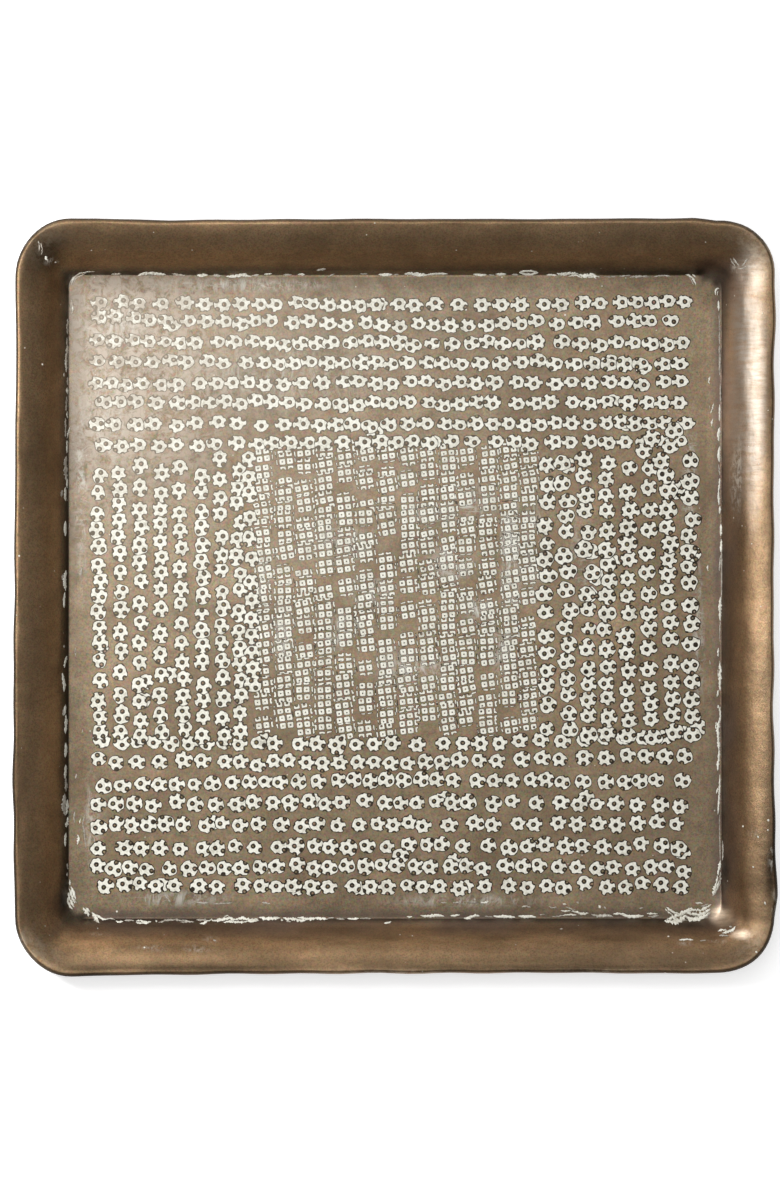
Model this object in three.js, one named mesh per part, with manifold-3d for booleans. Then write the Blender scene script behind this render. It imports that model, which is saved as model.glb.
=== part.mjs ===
// Square hand-hammered brass serving tray with a rolled rim.
// Millimetres, +Z up. Origin: centre of the underside, on the surface the tray stands on.
// +X is to the right and +Y to the back when the tray is seen from above.
//
// One sheet of brass forms the floor, the wall and the turned-down lip. Its floor is struck
// with patterned punches in straight rows: eight rows along the back, eight along the front,
// eight columns down each side, and a square of waffle-grid strikes in the middle. The struck
// rows hold a chalk-white filler, rubbed in flush with the floor, and a bead of the same
// filler lies in the crease at the foot of each wall.
import * as THREE from 'three';
import { mergeVertices } from 'three/addons/utils/BufferGeometryUtils.js';
import Module from 'manifold-3d';

// ---------------------------------------------------------------- driving dimensions
const OUTER_X = 406;          // over the lip, left to right
const OUTER_Y = 404;          // over the lip, front to back
const OUTER_R = 30;           // outer corner radius in plan
const FLOOR_X = 350;          // flat floor, crease to crease
const FLOOR_Y = 345;
const FLOOR_R = 7;            // floor corner radius in plan
const SHEET = 1.2;            // sheet thickness
const CORNER_STEPS = 8;       // facets round one corner

// Upper face of wall, crest and lip: [distance out from the crease, height].
const RIM = [
  [0.0, 1.2], [0.9, 2.4], [2.6, 5.75], [5.0, 9.95], [8.0, 14.2], [11.0, 17.6],
  [14.0, 20.2], [17.0, 22.2], [20.0, 23.8], [23.0, 25.05], [25.4, 25.85], [26.3, 26.0],
  [27.1, 25.5], [27.7, 24.0], [28.0, 21.2], [28.0, 17.5],
];
const RIM_WIDTH = 28;

// Struck rows and their filler.
const STRIKE_DEPTH = 0.35;    // how deep the punches sink the floor
const STRIP_W = 8.0;          // width of one struck row
const GAP = 0.3;              // play between filler and the edge of its recess
const BAND_ROWS = 8;          // rows in each of the four bands
const ROW_FIRST = 81.5;       // back and front bands: first row from the centre line
const ROW_PITCH = 10.75;
const ROW_LENGTH = 327;
const COL_FIRST = 82.5;       // side bands: first column from the centre line
const COL_PITCH = 10.85;
const COL_LENGTH = 151;
const GRID_COLS = 14;         // waffle-grid square
const GRID_PITCH = 11;

// Filler bead in the crease.
const BEAD_W = 1.0;
const BEAD_H = 0.5;
const BEAD_X = 328;           // length along the back and front walls
const BEAD_Y = 322;           // length along the side walls

// ---------------------------------------------------------------- materials
const brass = (name) => {
  const m = new THREE.MeshStandardMaterial({ color: 0x86704f, roughness: 0.45, metalness: 0.9 });
  m.name = name;
  return m;
};
const chalk = (name) => {
  const m = new THREE.MeshStandardMaterial({ color: 0xefebdc, roughness: 0.9, metalness: 0 });
  m.name = name;
  return m;
};

// ---------------------------------------------------------------- the sheet
// Plan outline, distance d out from the crease: a rounded rectangle whose corner radius
// grows steadily from the floor's to the lip's.
function ring(d, z) {
  const t = d / RIM_WIDTH;
  const hx = FLOOR_X / 2 + t * (OUTER_X - FLOOR_X) / 2;
  const hy = FLOOR_Y / 2 + t * (OUTER_Y - FLOOR_Y) / 2;
  const r = FLOOR_R + t * (OUTER_R - FLOOR_R);
  const points = [];
  for (let corner = 0; corner < 4; corner += 1) {
    const sx = corner === 0 || corner === 3 ? 1 : -1;
    const sy = corner < 2 ? 1 : -1;
    for (let i = 0; i <= CORNER_STEPS; i += 1) {
      const a = (corner + i / CORNER_STEPS) * Math.PI / 2;
      points.push([sx * (hx - r) + r * Math.cos(a), sy * (hy - r) + r * Math.sin(a), z]);
    }
  }
  return points;
}

// Lower face: the upper one moved by one sheet thickness along its own normal, with the
// crease mitred so that the underside of the floor is flat at z = 0.
function underside(profile) {
  const out = [];
  for (let i = 0; i < profile.length; i += 1) {
    const a = profile[Math.max(0, i - 1)];
    const b = profile[Math.min(profile.length - 1, i + 1)];
    const length = Math.hypot(b[0] - a[0], b[1] - a[1]);
    const n = [(b[1] - a[1]) / length, -(b[0] - a[0]) / length];
    out.push([profile[i][0] + n[0] * SHEET, profile[i][1] + n[1] * SHEET]);
  }
  const slope = (out[1][0] - out[0][0]) / (out[1][1] - out[0][1]);
  out[0] = [out[1][0] - slope * out[1][1], 0];
  return out;
}

function sheetGeometry() {
  const rings = [
    ...RIM.map(([d, z]) => ring(d, z)),
    ...underside(RIM).reverse().map(([d, z]) => ring(d, z)),
  ];
  const n = rings[0].length;
  const positions = rings.flat(2);
  const index = [];
  for (let k = 0; k + 1 < rings.length; k += 1) {
    for (let i = 0; i < n; i += 1) {
      const j = (i + 1) % n;
      const [a, b, c, d] = [k * n + i, k * n + j, (k + 1) * n + j, (k + 1) * n + i];
      index.push(a, c, b, a, d, c);
    }
  }
  // Floor above, floor below: each is one convex outline.
  const last = (rings.length - 1) * n;
  for (let i = 1; i + 1 < n; i += 1) {
    index.push(0, i, i + 1);
    index.push(last, last + i + 1, last + i);
  }
  const geometry = new THREE.BufferGeometry();
  geometry.setAttribute('position', new THREE.Float32BufferAttribute(positions, 3));
  geometry.setIndex(index);
  return geometry;
}

// ---------------------------------------------------------------- booleans
const wasm = await Module();
wasm.setup();

function toSolid(geometry) {
  const g = geometry.clone();
  g.deleteAttribute('normal');
  g.deleteAttribute('uv');
  const merged = mergeVertices(g, 1e-5);
  return new wasm.Manifold(new wasm.Mesh({
    numProp: 3,
    vertProperties: new Float32Array(merged.attributes.position.array),
    triVerts: new Uint32Array(merged.index.array),
  }));
}

function toGeometry(solid) {
  const mesh = solid.getMesh();
  const geometry = new THREE.BufferGeometry();
  const positions = new Float32Array(mesh.numVert * 3);
  for (let i = 0; i < mesh.numVert; i += 1) {
    for (let k = 0; k < 3; k += 1) positions[3 * i + k] = mesh.vertProperties[i * mesh.numProp + k];
  }
  geometry.setAttribute('position', new THREE.BufferAttribute(positions, 3));
  geometry.setIndex(new THREE.BufferAttribute(new Uint32Array(mesh.triVerts), 1));
  geometry.computeVertexNormals();
  return geometry;
}

// ---------------------------------------------------------------- struck rows
// [name, centre x, centre y, size x, size y]
const strips = [];
for (let i = 0; i < BAND_ROWS; i += 1) {
  strips.push([`fill_back_row_${i + 1}`, 0, ROW_FIRST + i * ROW_PITCH, ROW_LENGTH, STRIP_W]);
}
for (let i = 0; i < BAND_ROWS; i += 1) {
  strips.push([`fill_front_row_${i + 1}`, 0, -ROW_FIRST - i * ROW_PITCH, ROW_LENGTH, STRIP_W]);
}
for (let i = 0; i < BAND_ROWS; i += 1) {
  strips.push([`fill_left_column_${i + 1}`, -COL_FIRST - i * COL_PITCH, 0, STRIP_W, COL_LENGTH]);
}
for (let i = 0; i < BAND_ROWS; i += 1) {
  strips.push([`fill_right_column_${i + 1}`, COL_FIRST + i * COL_PITCH, 0, STRIP_W, COL_LENGTH]);
}
for (let i = 0; i < GRID_COLS; i += 1) {
  strips.push([`fill_grid_column_${i + 1}`, (i - (GRID_COLS - 1) / 2) * GRID_PITCH, 0, STRIP_W, COL_LENGTH]);
}

const FLOOR_TOP = SHEET;
const RECESS = SHEET - STRIKE_DEPTH;

function box(sizeX, sizeY, low, high) {
  const g = new THREE.BoxGeometry(sizeX, sizeY, high - low);
  const p = g.attributes.position;
  for (let i = 0; i < p.count; i += 1) p.setZ(i, p.getZ(i) > 0 ? high : low);
  return g;
}

let sheet = toSolid(sheetGeometry());
for (const [, x, y, sx, sy] of strips) {
  const cutter = box(sx + 2 * GAP, sy + 2 * GAP, RECESS, FLOOR_TOP + 1);
  cutter.translate(x, y, 0);
  sheet = sheet.subtract(toSolid(cutter));
}

// ---------------------------------------------------------------- scene graph
const tray = new THREE.Group();
tray.name = 'square_tray';

const body = new THREE.Mesh(toGeometry(sheet), brass('patinated_brass'));
body.name = 'tray_body';
tray.add(body);

const fillers = new THREE.Group();
for (const [name, x, y, sx, sy] of strips) {
  const mesh = new THREE.Mesh(box(sx, sy, RECESS, FLOOR_TOP), chalk('white_filler'));
  mesh.name = name;
  mesh.position.set(x, y, 0);
  fillers.add(mesh);
}
tray.add(fillers);

const beads = new THREE.Group();
const beadY = FLOOR_Y / 2 - GAP - BEAD_W / 2;
const beadX = FLOOR_X / 2 - GAP - BEAD_W / 2;
for (const [name, x, y, sx, sy] of [
  ['crease_fill_back', 0, beadY, BEAD_X, BEAD_W],
  ['crease_fill_front', 0, -beadY, BEAD_X, BEAD_W],
  ['crease_fill_left', -beadX, 0, BEAD_W, BEAD_Y],
  ['crease_fill_right', beadX, 0, BEAD_W, BEAD_Y],
]) {
  const mesh = new THREE.Mesh(box(sx, sy, FLOOR_TOP, FLOOR_TOP + BEAD_H), chalk('white_filler'));
  mesh.name = name;
  mesh.position.set(x, y, 0);
  beads.add(mesh);
}
tray.add(beads);

export default tray;
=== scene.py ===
import math

import bpy
import numpy as np
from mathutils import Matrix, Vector
from mathutils.bvhtree import BVHTree
from mathutils.geometry import delaunay_2d_cdt


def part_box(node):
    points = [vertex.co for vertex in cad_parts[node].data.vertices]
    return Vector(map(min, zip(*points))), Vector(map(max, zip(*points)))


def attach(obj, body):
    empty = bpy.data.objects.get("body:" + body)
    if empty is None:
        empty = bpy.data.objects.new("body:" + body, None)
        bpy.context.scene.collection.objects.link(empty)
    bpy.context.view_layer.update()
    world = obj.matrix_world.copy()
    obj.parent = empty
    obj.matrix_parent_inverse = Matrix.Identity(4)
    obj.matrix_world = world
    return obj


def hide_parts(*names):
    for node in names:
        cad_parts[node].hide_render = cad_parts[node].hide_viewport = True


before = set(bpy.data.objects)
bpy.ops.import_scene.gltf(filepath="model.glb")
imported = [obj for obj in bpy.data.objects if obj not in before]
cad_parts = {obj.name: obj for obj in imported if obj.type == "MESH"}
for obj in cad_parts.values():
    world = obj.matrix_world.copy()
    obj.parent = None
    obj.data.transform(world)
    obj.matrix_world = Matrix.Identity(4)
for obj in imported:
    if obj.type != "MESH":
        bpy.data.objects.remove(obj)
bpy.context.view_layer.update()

lo, hi = (np.array(v) * 1000 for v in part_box("tray_body"))
OUT_X, OUT_Y = hi[0], hi[1]            # half sizes over the lip
TOP = hi[2]                            # crest height
bead_lo, bead_hi = (np.array(v) * 1000 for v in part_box("crease_fill_back"))
FLOOR_Z = bead_lo[2]                   # upper face of the floor
CREASE_Y = bead_hi[1] + 0.3            # the CAD bead stands 0.3 mm off the crease
CREASE_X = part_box("crease_fill_right")[1][0] * 1000 + 0.3
RIM_W = OUT_X - CREASE_X
SHEET = FLOOR_Z

# ------------------------------------------------------------------ camera
FRAME_MM = 640.3                       # height of the picture at the rim's level
CAM_D = 12000.0
cam_data = bpy.data.cameras.new("camera")
cam_data.type = "PERSP"
cam_data.sensor_width = 36.0
cam_data.lens = 36.0 * CAM_D / FRAME_MM
cam_data.clip_start = 0.05
cam_data.clip_end = 50.0
camera = bpy.data.objects.new("camera", cam_data)
camera.location = (-0.0026, -0.0007, (CAM_D + TOP - 3) / 1000)
camera.rotation_euler = (0, 0, 0)
bpy.context.scene.collection.objects.link(camera)
bpy.context.scene.camera = camera

# ------------------------------------------------------------------ mesh helpers


def new_object(name, verts_mm, faces, materials, face_mat=None, smooth=True, sharp=None):
    mesh = bpy.data.meshes.new(name)
    verts = np.asarray(verts_mm, float) / 1000.0
    mesh.from_pydata(verts.tolist(), [], [list(map(int, f)) for f in faces])
    mesh.update()
    for m in materials:
        mesh.materials.append(m)
    if face_mat is not None:
        mesh.polygons.foreach_set("material_index", np.asarray(face_mat, np.int32))
    mesh.polygons.foreach_set("use_smooth", np.broadcast_to(np.asarray(smooth, bool), len(mesh.polygons)).copy())
    if sharp is not None:
        ev = np.zeros(len(mesh.edges) * 2, np.int32)
        mesh.edges.foreach_get("vertices", ev)
        ev = np.sort(ev.reshape(-1, 2), axis=1)
        keys = ev[:, 0].astype(np.int64) * (len(verts) + 1) + ev[:, 1]
        s = np.sort(np.asarray(list(sharp), np.int64))
        if len(s):
            at = np.clip(np.searchsorted(s, keys), 0, len(s) - 1)
            hit = s[at] == keys
            attr = mesh.attributes.get("sharp_edge") or mesh.attributes.new("sharp_edge", "BOOLEAN", "EDGE")
            attr.data.foreach_set("value", hit)
    mesh.update()
    obj = bpy.data.objects.new(name, mesh)
    bpy.context.scene.collection.objects.link(obj)
    return obj


def edge_key(a, b, n):
    return (min(a, b)) * (n + 1) + max(a, b)


def smoothstep(a, b, x):
    t = np.clip((np.asarray(x, float) - a) / (b - a), 0, 1)
    return t * t * (3 - 2 * t)


# ------------------------------------------------------------------ materials


class Nodes:
    def __init__(self, name):
        self.mat = bpy.data.materials.new(name)
        self.mat.use_nodes = True
        self.t = self.mat.node_tree
        self.t.nodes.clear()
        self.out = self.t.nodes.new("ShaderNodeOutputMaterial")
        self.bsdf = self.t.nodes.new("ShaderNodeBsdfPrincipled")
        self.t.links.new(self.bsdf.outputs[0], self.out.inputs[0])
        self.co = self.t.nodes.new("ShaderNodeTexCoord").outputs["Object"]

    def new(self, kind, **props):
        n = self.t.nodes.new(kind)
        for k, v in props.items():
            setattr(n, k, v)
        return n

    def link(self, a, b):
        self.t.links.new(a, b)

    def put(self, sock, v):
        if isinstance(v, bpy.types.NodeSocket):
            self.link(v, sock)
        else:
            sock.default_value = v

    def noise(self, scale, detail=3.0, rough=0.5, co=None, distortion=0.0, stretch=None, offset=(0, 0, 0)):
        n = self.new("ShaderNodeTexNoise")
        n.inputs["Scale"].default_value = scale
        n.inputs["Detail"].default_value = detail
        n.inputs["Roughness"].default_value = rough
        n.inputs["Distortion"].default_value = distortion
        m = self.new("ShaderNodeMapping")
        if stretch:
            m.inputs["Scale"].default_value = stretch
        m.inputs["Location"].default_value = offset
        self.link(co or self.co, m.inputs["Vector"])
        self.link(m.outputs[0], n.inputs["Vector"])
        return n.outputs["Fac"]

    def ramp(self, fac, stops, interp="LINEAR"):
        r = self.new("ShaderNodeValToRGB")
        r.color_ramp.interpolation = interp
        els = r.color_ramp.elements
        while len(els) < len(stops):
            els.new(0.5)
        for e, (p, c) in zip(els, stops):
            e.position = p
            e.color = (c, c, c, 1) if isinstance(c, (int, float)) else (*c, 1)
        self.link(fac, r.inputs[0])
        return r.outputs[0]

    def math(self, op, a, b=None, clamp=False, c=None):
        n = self.new("ShaderNodeMath", operation=op, use_clamp=clamp)
        self.put(n.inputs[0], a)
        if b is not None:
            self.put(n.inputs[1], b)
        if c is not None:
            self.put(n.inputs[2], c)
        return n.outputs[0]

    def mix(self, fac, a, b, blend="MIX"):
        n = self.new("ShaderNodeMix", data_type="RGBA", blend_type=blend)
        self.put(n.inputs[0], fac)
        self.put(n.inputs[6], a if isinstance(a, bpy.types.NodeSocket) else (*a, 1))
        self.put(n.inputs[7], b if isinstance(b, bpy.types.NodeSocket) else (*b, 1))
        return n.outputs[2]

    def mixf(self, fac, a, b):
        n = self.new("ShaderNodeMix", data_type="FLOAT")
        self.put(n.inputs[0], fac)
        self.put(n.inputs[2], a)
        self.put(n.inputs[3], b)
        return n.outputs[0]

    def xyz(self):
        s = self.new("ShaderNodeSeparateXYZ")
        self.link(self.co, s.inputs[0])
        return s.outputs

    def range(self, v, a, b, lo=0.0, hi=1.0, smooth=True):
        n = self.new("ShaderNodeMapRange", interpolation_type="SMOOTHSTEP" if smooth else "LINEAR")
        self.put(n.inputs[0], v)
        for i, x in enumerate((a, b, lo, hi)):
            n.inputs[1 + i].default_value = x
        return n.outputs[0]

    def spot(self, x, y, rx, ry, soft=1.0):
        """1 at a place on the plan, falling to 0 at its radii. Millimetres."""
        m = self.new("ShaderNodeMapping")
        m.inputs["Location"].default_value = (-x / rx, -y / ry, 0)
        m.inputs["Scale"].default_value = (1000 / rx, 1000 / ry, 0)
        self.link(self.co, m.inputs["Vector"])
        d = self.new("ShaderNodeVectorMath", operation="LENGTH")
        self.link(m.outputs[0], d.inputs[0])
        return self.range(d.outputs["Value"], 1.0, 1.0 - soft)

    def new_sep(self, color, channel):
        n = self.new("ShaderNodeSeparateColor")
        self.link(color, n.inputs[0])
        return n.outputs[channel]

    def bump(self, height, strength, distance, normal=None):
        n = self.new("ShaderNodeBump")
        n.inputs["Strength"].default_value = strength
        n.inputs["Distance"].default_value = distance
        self.link(height, n.inputs["Height"])
        if normal is not None:
            self.link(normal, n.inputs["Normal"])
        return n.outputs[0]


def brass(name):
    g = Nodes(name)
    x, y, z = g.xyz()
    # How far out from the crease: below zero on the floor.
    out = g.math("MAXIMUM", g.math("SUBTRACT", g.math("ABSOLUTE", x), CREASE_X / 1000), g.math("SUBTRACT", g.math("ABSOLUTE", y), CREASE_Y / 1000))
    wall = g.range(out, 0.0, 0.006)
    # Laid down per vertex on the rim: painted shade on its turned lip, painted shade in the crease,
    # painted light and shade partly from uneven metal tone, scuffs of filler, rubbed metal with a painted
    # highlight, worn metal, the painted glint in the front right corner.
    turned, grime, lift, scuffed, rubbed, worn, bright = (
        g.new("ShaderNodeAttribute", attribute_name=k).outputs["Fac"] for k in ("turned", "grime", "lift", "scuffed", "rubbed", "worn", "bright"))
    # Patina: broad cloudy tones, blotches a few centimetres across, fine mottling.
    broad = g.noise(14, 3, 0.55)
    blotch = g.noise(70, 4, 0.6, distortion=0.4, offset=(3, 1, 0))
    fine = g.noise(420, 4, 0.65, offset=(0, 7, 0))
    grain = g.noise(1500, 2, 0.5)
    speckle = g.noise(1100, 3, 0.7, offset=(1, 2, 3))
    streak = g.noise(90, 4, 0.65, stretch=(1.0, 5.0, 1.0), offset=(0, 3, 8))
    tone = g.math("ADD", g.math("MULTIPLY", broad, 0.40), g.math("MULTIPLY", blotch, 0.35))
    tone = g.math("ADD", tone, g.math("MULTIPLY", fine, 0.25))
    base = g.ramp(tone, [(0.34, (0.158, 0.116, 0.072)), (0.5, (0.216, 0.161, 0.100)), (0.66, (0.276, 0.210, 0.134))])
    base = g.mix(g.math("MULTIPLY", g.ramp(speckle, [(0.40, 1.0), (0.52, 0.0)]), 0.45), base, (0.075, 0.056, 0.036))
    mottle = g.new("ShaderNodeVectorMath", operation="MULTIPLY_ADD")
    cloudy = g.new("ShaderNodeTexNoise")
    cloudy.inputs["Scale"].default_value = 620
    cloudy.inputs["Detail"].default_value = 3
    cloudy.inputs["Roughness"].default_value = 0.7
    g.link(g.co, cloudy.inputs["Vector"])
    g.link(cloudy.outputs["Color"], mottle.inputs[0])
    mottle.inputs[1].default_value = (1.6, 1.45, 1.45)
    mottle.inputs[2].default_value = (0.2, 0.275, 0.275)
    base = g.mix(g.math("SUBTRACT", 1.0, g.math("MULTIPLY", wall, 0.6)), base, g.mix(1.0, base, mottle.outputs[0], "MULTIPLY"))
    # Painted reflection: the wall, most of all its lower part, is tinted redder, standing in for the brass walls
    # reflecting each other.
    tint = g.math("MULTIPLY", wall, g.range(z, 0.0255, 0.017, 0.6, 1.0))
    base = g.mix(tint, base, g.mix(1.0, base, (1.10, 0.86, 0.66), "MULTIPLY"))
    # Redder oxide in random patches; darker and redder towards the right and front, partly painted shade away from the
    # light; greyer bloom here and there.
    red = g.ramp(g.noise(38, 3, 0.6, offset=(11, 0, 5)), [(0.50, 0.0), (0.70, 1.0)])
    base = g.mix(g.math("MULTIPLY", red, g.mixf(wall, 0.35, 0.15)), base, (0.165, 0.108, 0.066))
    warm_shade = g.math("MULTIPLY", g.range(x, 0.02, 0.17), g.range(y, 0.19, 0.02, 0.35, 1.0))
    base = g.mix(g.math("MULTIPLY", warm_shade, 0.24), base, (0.122, 0.082, 0.052))
    # Violet tarnish along the foot of the right and front walls.
    foot = g.math("MULTIPLY", g.range(out, -0.007, -0.001), g.range(out, 0.013, 0.003))
    side = g.math("MAXIMUM", g.range(x, 0.150, 0.172), g.math("MULTIPLY", g.range(y, -0.150, -0.170), 1.0))
    violet = g.math("MULTIPLY", g.math("MULTIPLY", foot, side), g.ramp(g.noise(30, 2, 0.5, offset=(8, 8, 1)), [(0.35, 0.35), (0.6, 1.0)]))
    base = g.mix(g.math("MULTIPLY", violet, 0.6), base, (0.120, 0.088, 0.082))
    uneven = g.ramp(g.noise(24, 4, 0.6, offset=(4, 0, 9)), [(0.36, 0.86), (0.64, 1.14)])
    scale = g.new("ShaderNodeVectorMath", operation="SCALE")
    g.link(base, scale.inputs[0])
    # Scale the colour by the painted light and shade with the uneven tone, by painted shade on the turned lip and by
    # painted shade in the crease.
    shade = g.math("MULTIPLY", g.math("MULTIPLY", g.math("ADD", lift, 1.0), uneven), g.math("SUBTRACT", 1.0, g.math("MULTIPLY", turned, 0.74)))
    g.link(g.math("MULTIPLY", shade, g.math("SUBTRACT", 1.0, g.math("MULTIPLY", grime, 0.75))), scale.inputs["Scale"])
    base = scale.outputs[0]
    # Paler rubbed metal on the right wall, partly a painted highlight.
    rubbed = g.math("MULTIPLY", rubbed, g.ramp(streak, [(0.35, 0.45), (0.6, 1.0)]))
    base = g.mix(g.math("MULTIPLY", rubbed, 0.78), base, (0.365, 0.335, 0.295))
    # Rubbed-in dust with a painted sheen: a thin pale film, thickest towards the back left, where the floor catches the
    # light.
    dust_and_sheen = g.math("MULTIPLY", g.spot(-135, 150, 330, 270), g.range(out, 0.002, -0.003))
    swirl = g.noise(190, 5, 0.72, offset=(5, 5, 2), distortion=0.8)
    dust_and_sheen = g.math("MULTIPLY", dust_and_sheen, g.ramp(g.math("ADD", g.math("MULTIPLY", blotch, 0.45), g.math("MULTIPLY", swirl, 0.55)), [(0.38, 0.15), (0.60, 1.0)]))
    dust_and_sheen = g.math("MULTIPLY", dust_and_sheen, 0.27)
    # Painted shade: the floor darkens towards the front, away from the light.
    front_shade = g.math("MULTIPLY", g.range(y, 0.02, -0.12, 0.0, 0.20), g.math("SUBTRACT", 1.0, wall))
    base = g.mix(front_shade, base, (0.06, 0.045, 0.03))
    # Painted shade on the floor's margins beside the left, back and front walls.
    margin_shade = g.math("MAXIMUM", g.range(x, -0.150, -0.168), g.math("MAXIMUM", g.range(y, 0.150, 0.166), g.math("MULTIPLY", g.range(y, -0.150, -0.166), 0.4)))
    margin_shade = g.math("MULTIPLY", margin_shade, g.range(out, -0.015, -0.002, 0.0, 0.31))
    # A paler swirled patch by the back left corner: dust with a painted sheen.
    corner = g.math("MULTIPLY", g.spot(-152, 128, 115, 140), g.range(out, 0.002, -0.003))
    corner = g.math("MULTIPLY", g.math("MULTIPLY", corner, g.ramp(swirl, [(0.41, 0.10), (0.57, 1.0)])), 0.85)
    # Smears of filler wiped across the middle and down the right.
    smear = None
    for sx, sy, rx, ry, w in ((-27, -15, 13, 9, 1.0), (-13, 3, 16, 12, 0.8), (30, 18, 17, 13, 0.9), (45, -7, 13, 9, 1.0), (58, -28, 9, 26, 0.7),
                              (75, 30, 7, 40, 0.8), (-33, -24, 12, 7, 0.9), (20, 45, 22, 10, 0.5), (-70, 10, 8, 30, 0.5), (158, 60, 6, 60, 0.7),
                              (163, -20, 5, 60, 0.5), (-150, 148, 26, 18, 0.8), (-155, 95, 18, 40, 0.55), (-60, -20, 8, 26, 0.8), (62, 20, 8, 60, 1.0), (10, -38, 30, 14, 0.8), (-30, 30, 26, 16, 0.7), (40, 50, 20, 14, 0.8), (-118, -162, 40, 6, 0.5), (-162, -120, 6, 40, 0.5),
                              (40, -163, 60, 5, 0.5), (-168, 60, 5, 70, 0.6), (-80, 167, 70, 5, 0.6), (-60, 120, 90, 30, 0.35), (100, 20, 9, 40, 0.4)):
        k = g.math("MULTIPLY", g.spot(sx, sy, rx, ry), w)
        smear = k if smear is None else g.math("MAXIMUM", smear, k)
    wisps = g.math("MAXIMUM", g.ramp(g.noise(170, 6, 0.75, stretch=(1.0, 0.35, 1.0), offset=(2, 2, 2), distortion=1.6), [(0.48, 0.0), (0.62, 1.0)]),
                   g.ramp(g.noise(190, 6, 0.75, stretch=(0.3, 1.0, 1.0), offset=(7, 1, 3), distortion=2.2), [(0.52, 0.0), (0.64, 0.9)]))
    smear = g.math("MULTIPLY", smear, wisps)
    pale = g.math("MAXIMUM", dust_and_sheen, corner)
    smear = g.math("MULTIPLY", smear, 0.9)
    nick = g.ramp(g.noise(520, 4, 0.75, stretch=(1.0, 0.5, 1.0), offset=(6, 1, 4)), [(0.46, 0.0), (0.56, 1.0)])
    scuff = g.math("MULTIPLY", scuffed, nick)
    # Grains of filler stuck anywhere.
    v = g.new("ShaderNodeTexVoronoi")
    v.inputs["Scale"].default_value = 75
    g.link(g.co, v.inputs["Vector"])
    seeded = g.math("GREATER_THAN", g.new_sep(v.outputs["Color"], 0), 0.80)
    grains = g.math("MULTIPLY", g.range(v.outputs["Distance"], 0.055, 0.02), seeded)
    v2 = g.new("ShaderNodeTexVoronoi")
    v2.inputs["Scale"].default_value = 210
    g.link(g.co, v2.inputs["Vector"])
    seeded2 = g.math("GREATER_THAN", g.new_sep(v2.outputs["Color"], 1), 0.86)
    grains2 = g.math("MULTIPLY", g.math("MULTIPLY", g.range(v2.outputs["Distance"], 0.11, 0.04), seeded2), 0.6)
    scuff = g.math("MAXIMUM", scuff, g.math("MAXIMUM", grains, grains2))
    bare = g.math("MULTIPLY", worn, g.ramp(g.noise(260, 5, 0.75, offset=(9, 4, 4)), [(0.42, 0.0), (0.58, 1.0)]))
    base = g.mix(g.math("MULTIPLY", bare, 0.8), base, (0.40, 0.33, 0.24))
    # Painted glint: near-white brass in the front right corner.
    glint = g.math("MULTIPLY", bright, g.ramp(streak, [(0.30, 0.4), (0.60, 1.0)]))
    base = g.mix(glint, base, (0.95, 0.75, 0.56))
    # Paler where there is dust with a painted sheen at the back left.
    base = g.mix(pale, base, (0.57, 0.485, 0.40))
    base = g.mix(g.math("MULTIPLY", margin_shade, g.math("SUBTRACT", 1.0, wall)), base, (0.03, 0.022, 0.014))
    base = g.mix(smear, base, (0.66, 0.65, 0.59))
    pale = g.math("MAXIMUM", pale, smear)
    base = g.mix(scuff, base, (0.74, 0.71, 0.62))
    dusty = g.math("MAXIMUM", pale, scuff)
    g.link(base, g.bsdf.inputs["Base Color"])
    g.link(g.math("MULTIPLY", g.math("SUBTRACT", 1.0, dusty), 0.9), g.bsdf.inputs["Metallic"])
    rough = g.math("ADD", g.mixf(wall, 0.42, 0.38), g.math("MULTIPLY", g.math("SUBTRACT", tone, 0.5), -0.25))
    rough = g.mixf(g.math("MAXIMUM", dusty, g.math("MULTIPLY", turned, 0.8)), rough, 0.75)
    g.link(rough, g.bsdf.inputs["Roughness"])
    h = g.math("ADD", g.noise(60, 2, 0.5, offset=(2, 9, 0)), g.math("MULTIPLY", g.math("ADD", fine, swirl), 0.14))
    n = g.bump(h, 0.35, 0.0012)
    n = g.bump(g.math("ADD", grain, g.math("MULTIPLY", scuff, 1.5)), 0.15, 0.0002, n)
    g.link(n, g.bsdf.inputs["Normal"])
    return g.mat


def chalk(name, stops):
    g = Nodes(name)
    fine = g.noise(700, 4, 0.7)
    mid = g.noise(120, 4, 0.6, offset=(4, 4, 0))
    base = g.ramp(g.math("ADD", g.math("MULTIPLY", fine, 0.6), g.math("MULTIPLY", mid, 0.4)), stops)
    rub = g.math("MULTIPLY", g.spot(-168, 150, 130, 130), g.ramp(g.noise(260, 4, 0.7, offset=(1, 6, 1)), [(0.43, 0.05), (0.54, 1.0)]))
    base = g.mix(g.math("MULTIPLY", rub, 0.92), base, (0.44, 0.375, 0.30))
    g.link(base, g.bsdf.inputs["Base Color"])
    g.bsdf.inputs["Roughness"].default_value = 0.85
    g.link(g.bump(fine, 0.4, 0.0003), g.bsdf.inputs["Normal"])
    return g.mat


mat_brass = brass("patinated_brass")


def groove():
    g = Nodes("struck_edge")
    fine = g.noise(500, 3, 0.6)
    base = g.ramp(fine, [(0.35, (0.016, 0.012, 0.008)), (0.65, (0.048, 0.036, 0.024))])
    # Painted light: the struck edges are paler towards the back left, where the floor catches the light.
    base = g.mix(g.math("MULTIPLY", g.spot(-165, 165, 380, 320), 0.95), base, (0.21, 0.18, 0.138))
    base = g.mix(g.math("MULTIPLY", g.spot(-165, 160, 190, 150), 0.95), base, (0.29, 0.25, 0.20))
    g.link(base, g.bsdf.inputs["Base Color"])
    g.bsdf.inputs["Specular IOR Level"].default_value = 0.1
    g.bsdf.inputs["Roughness"].default_value = 0.7
    return g.mat


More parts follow.
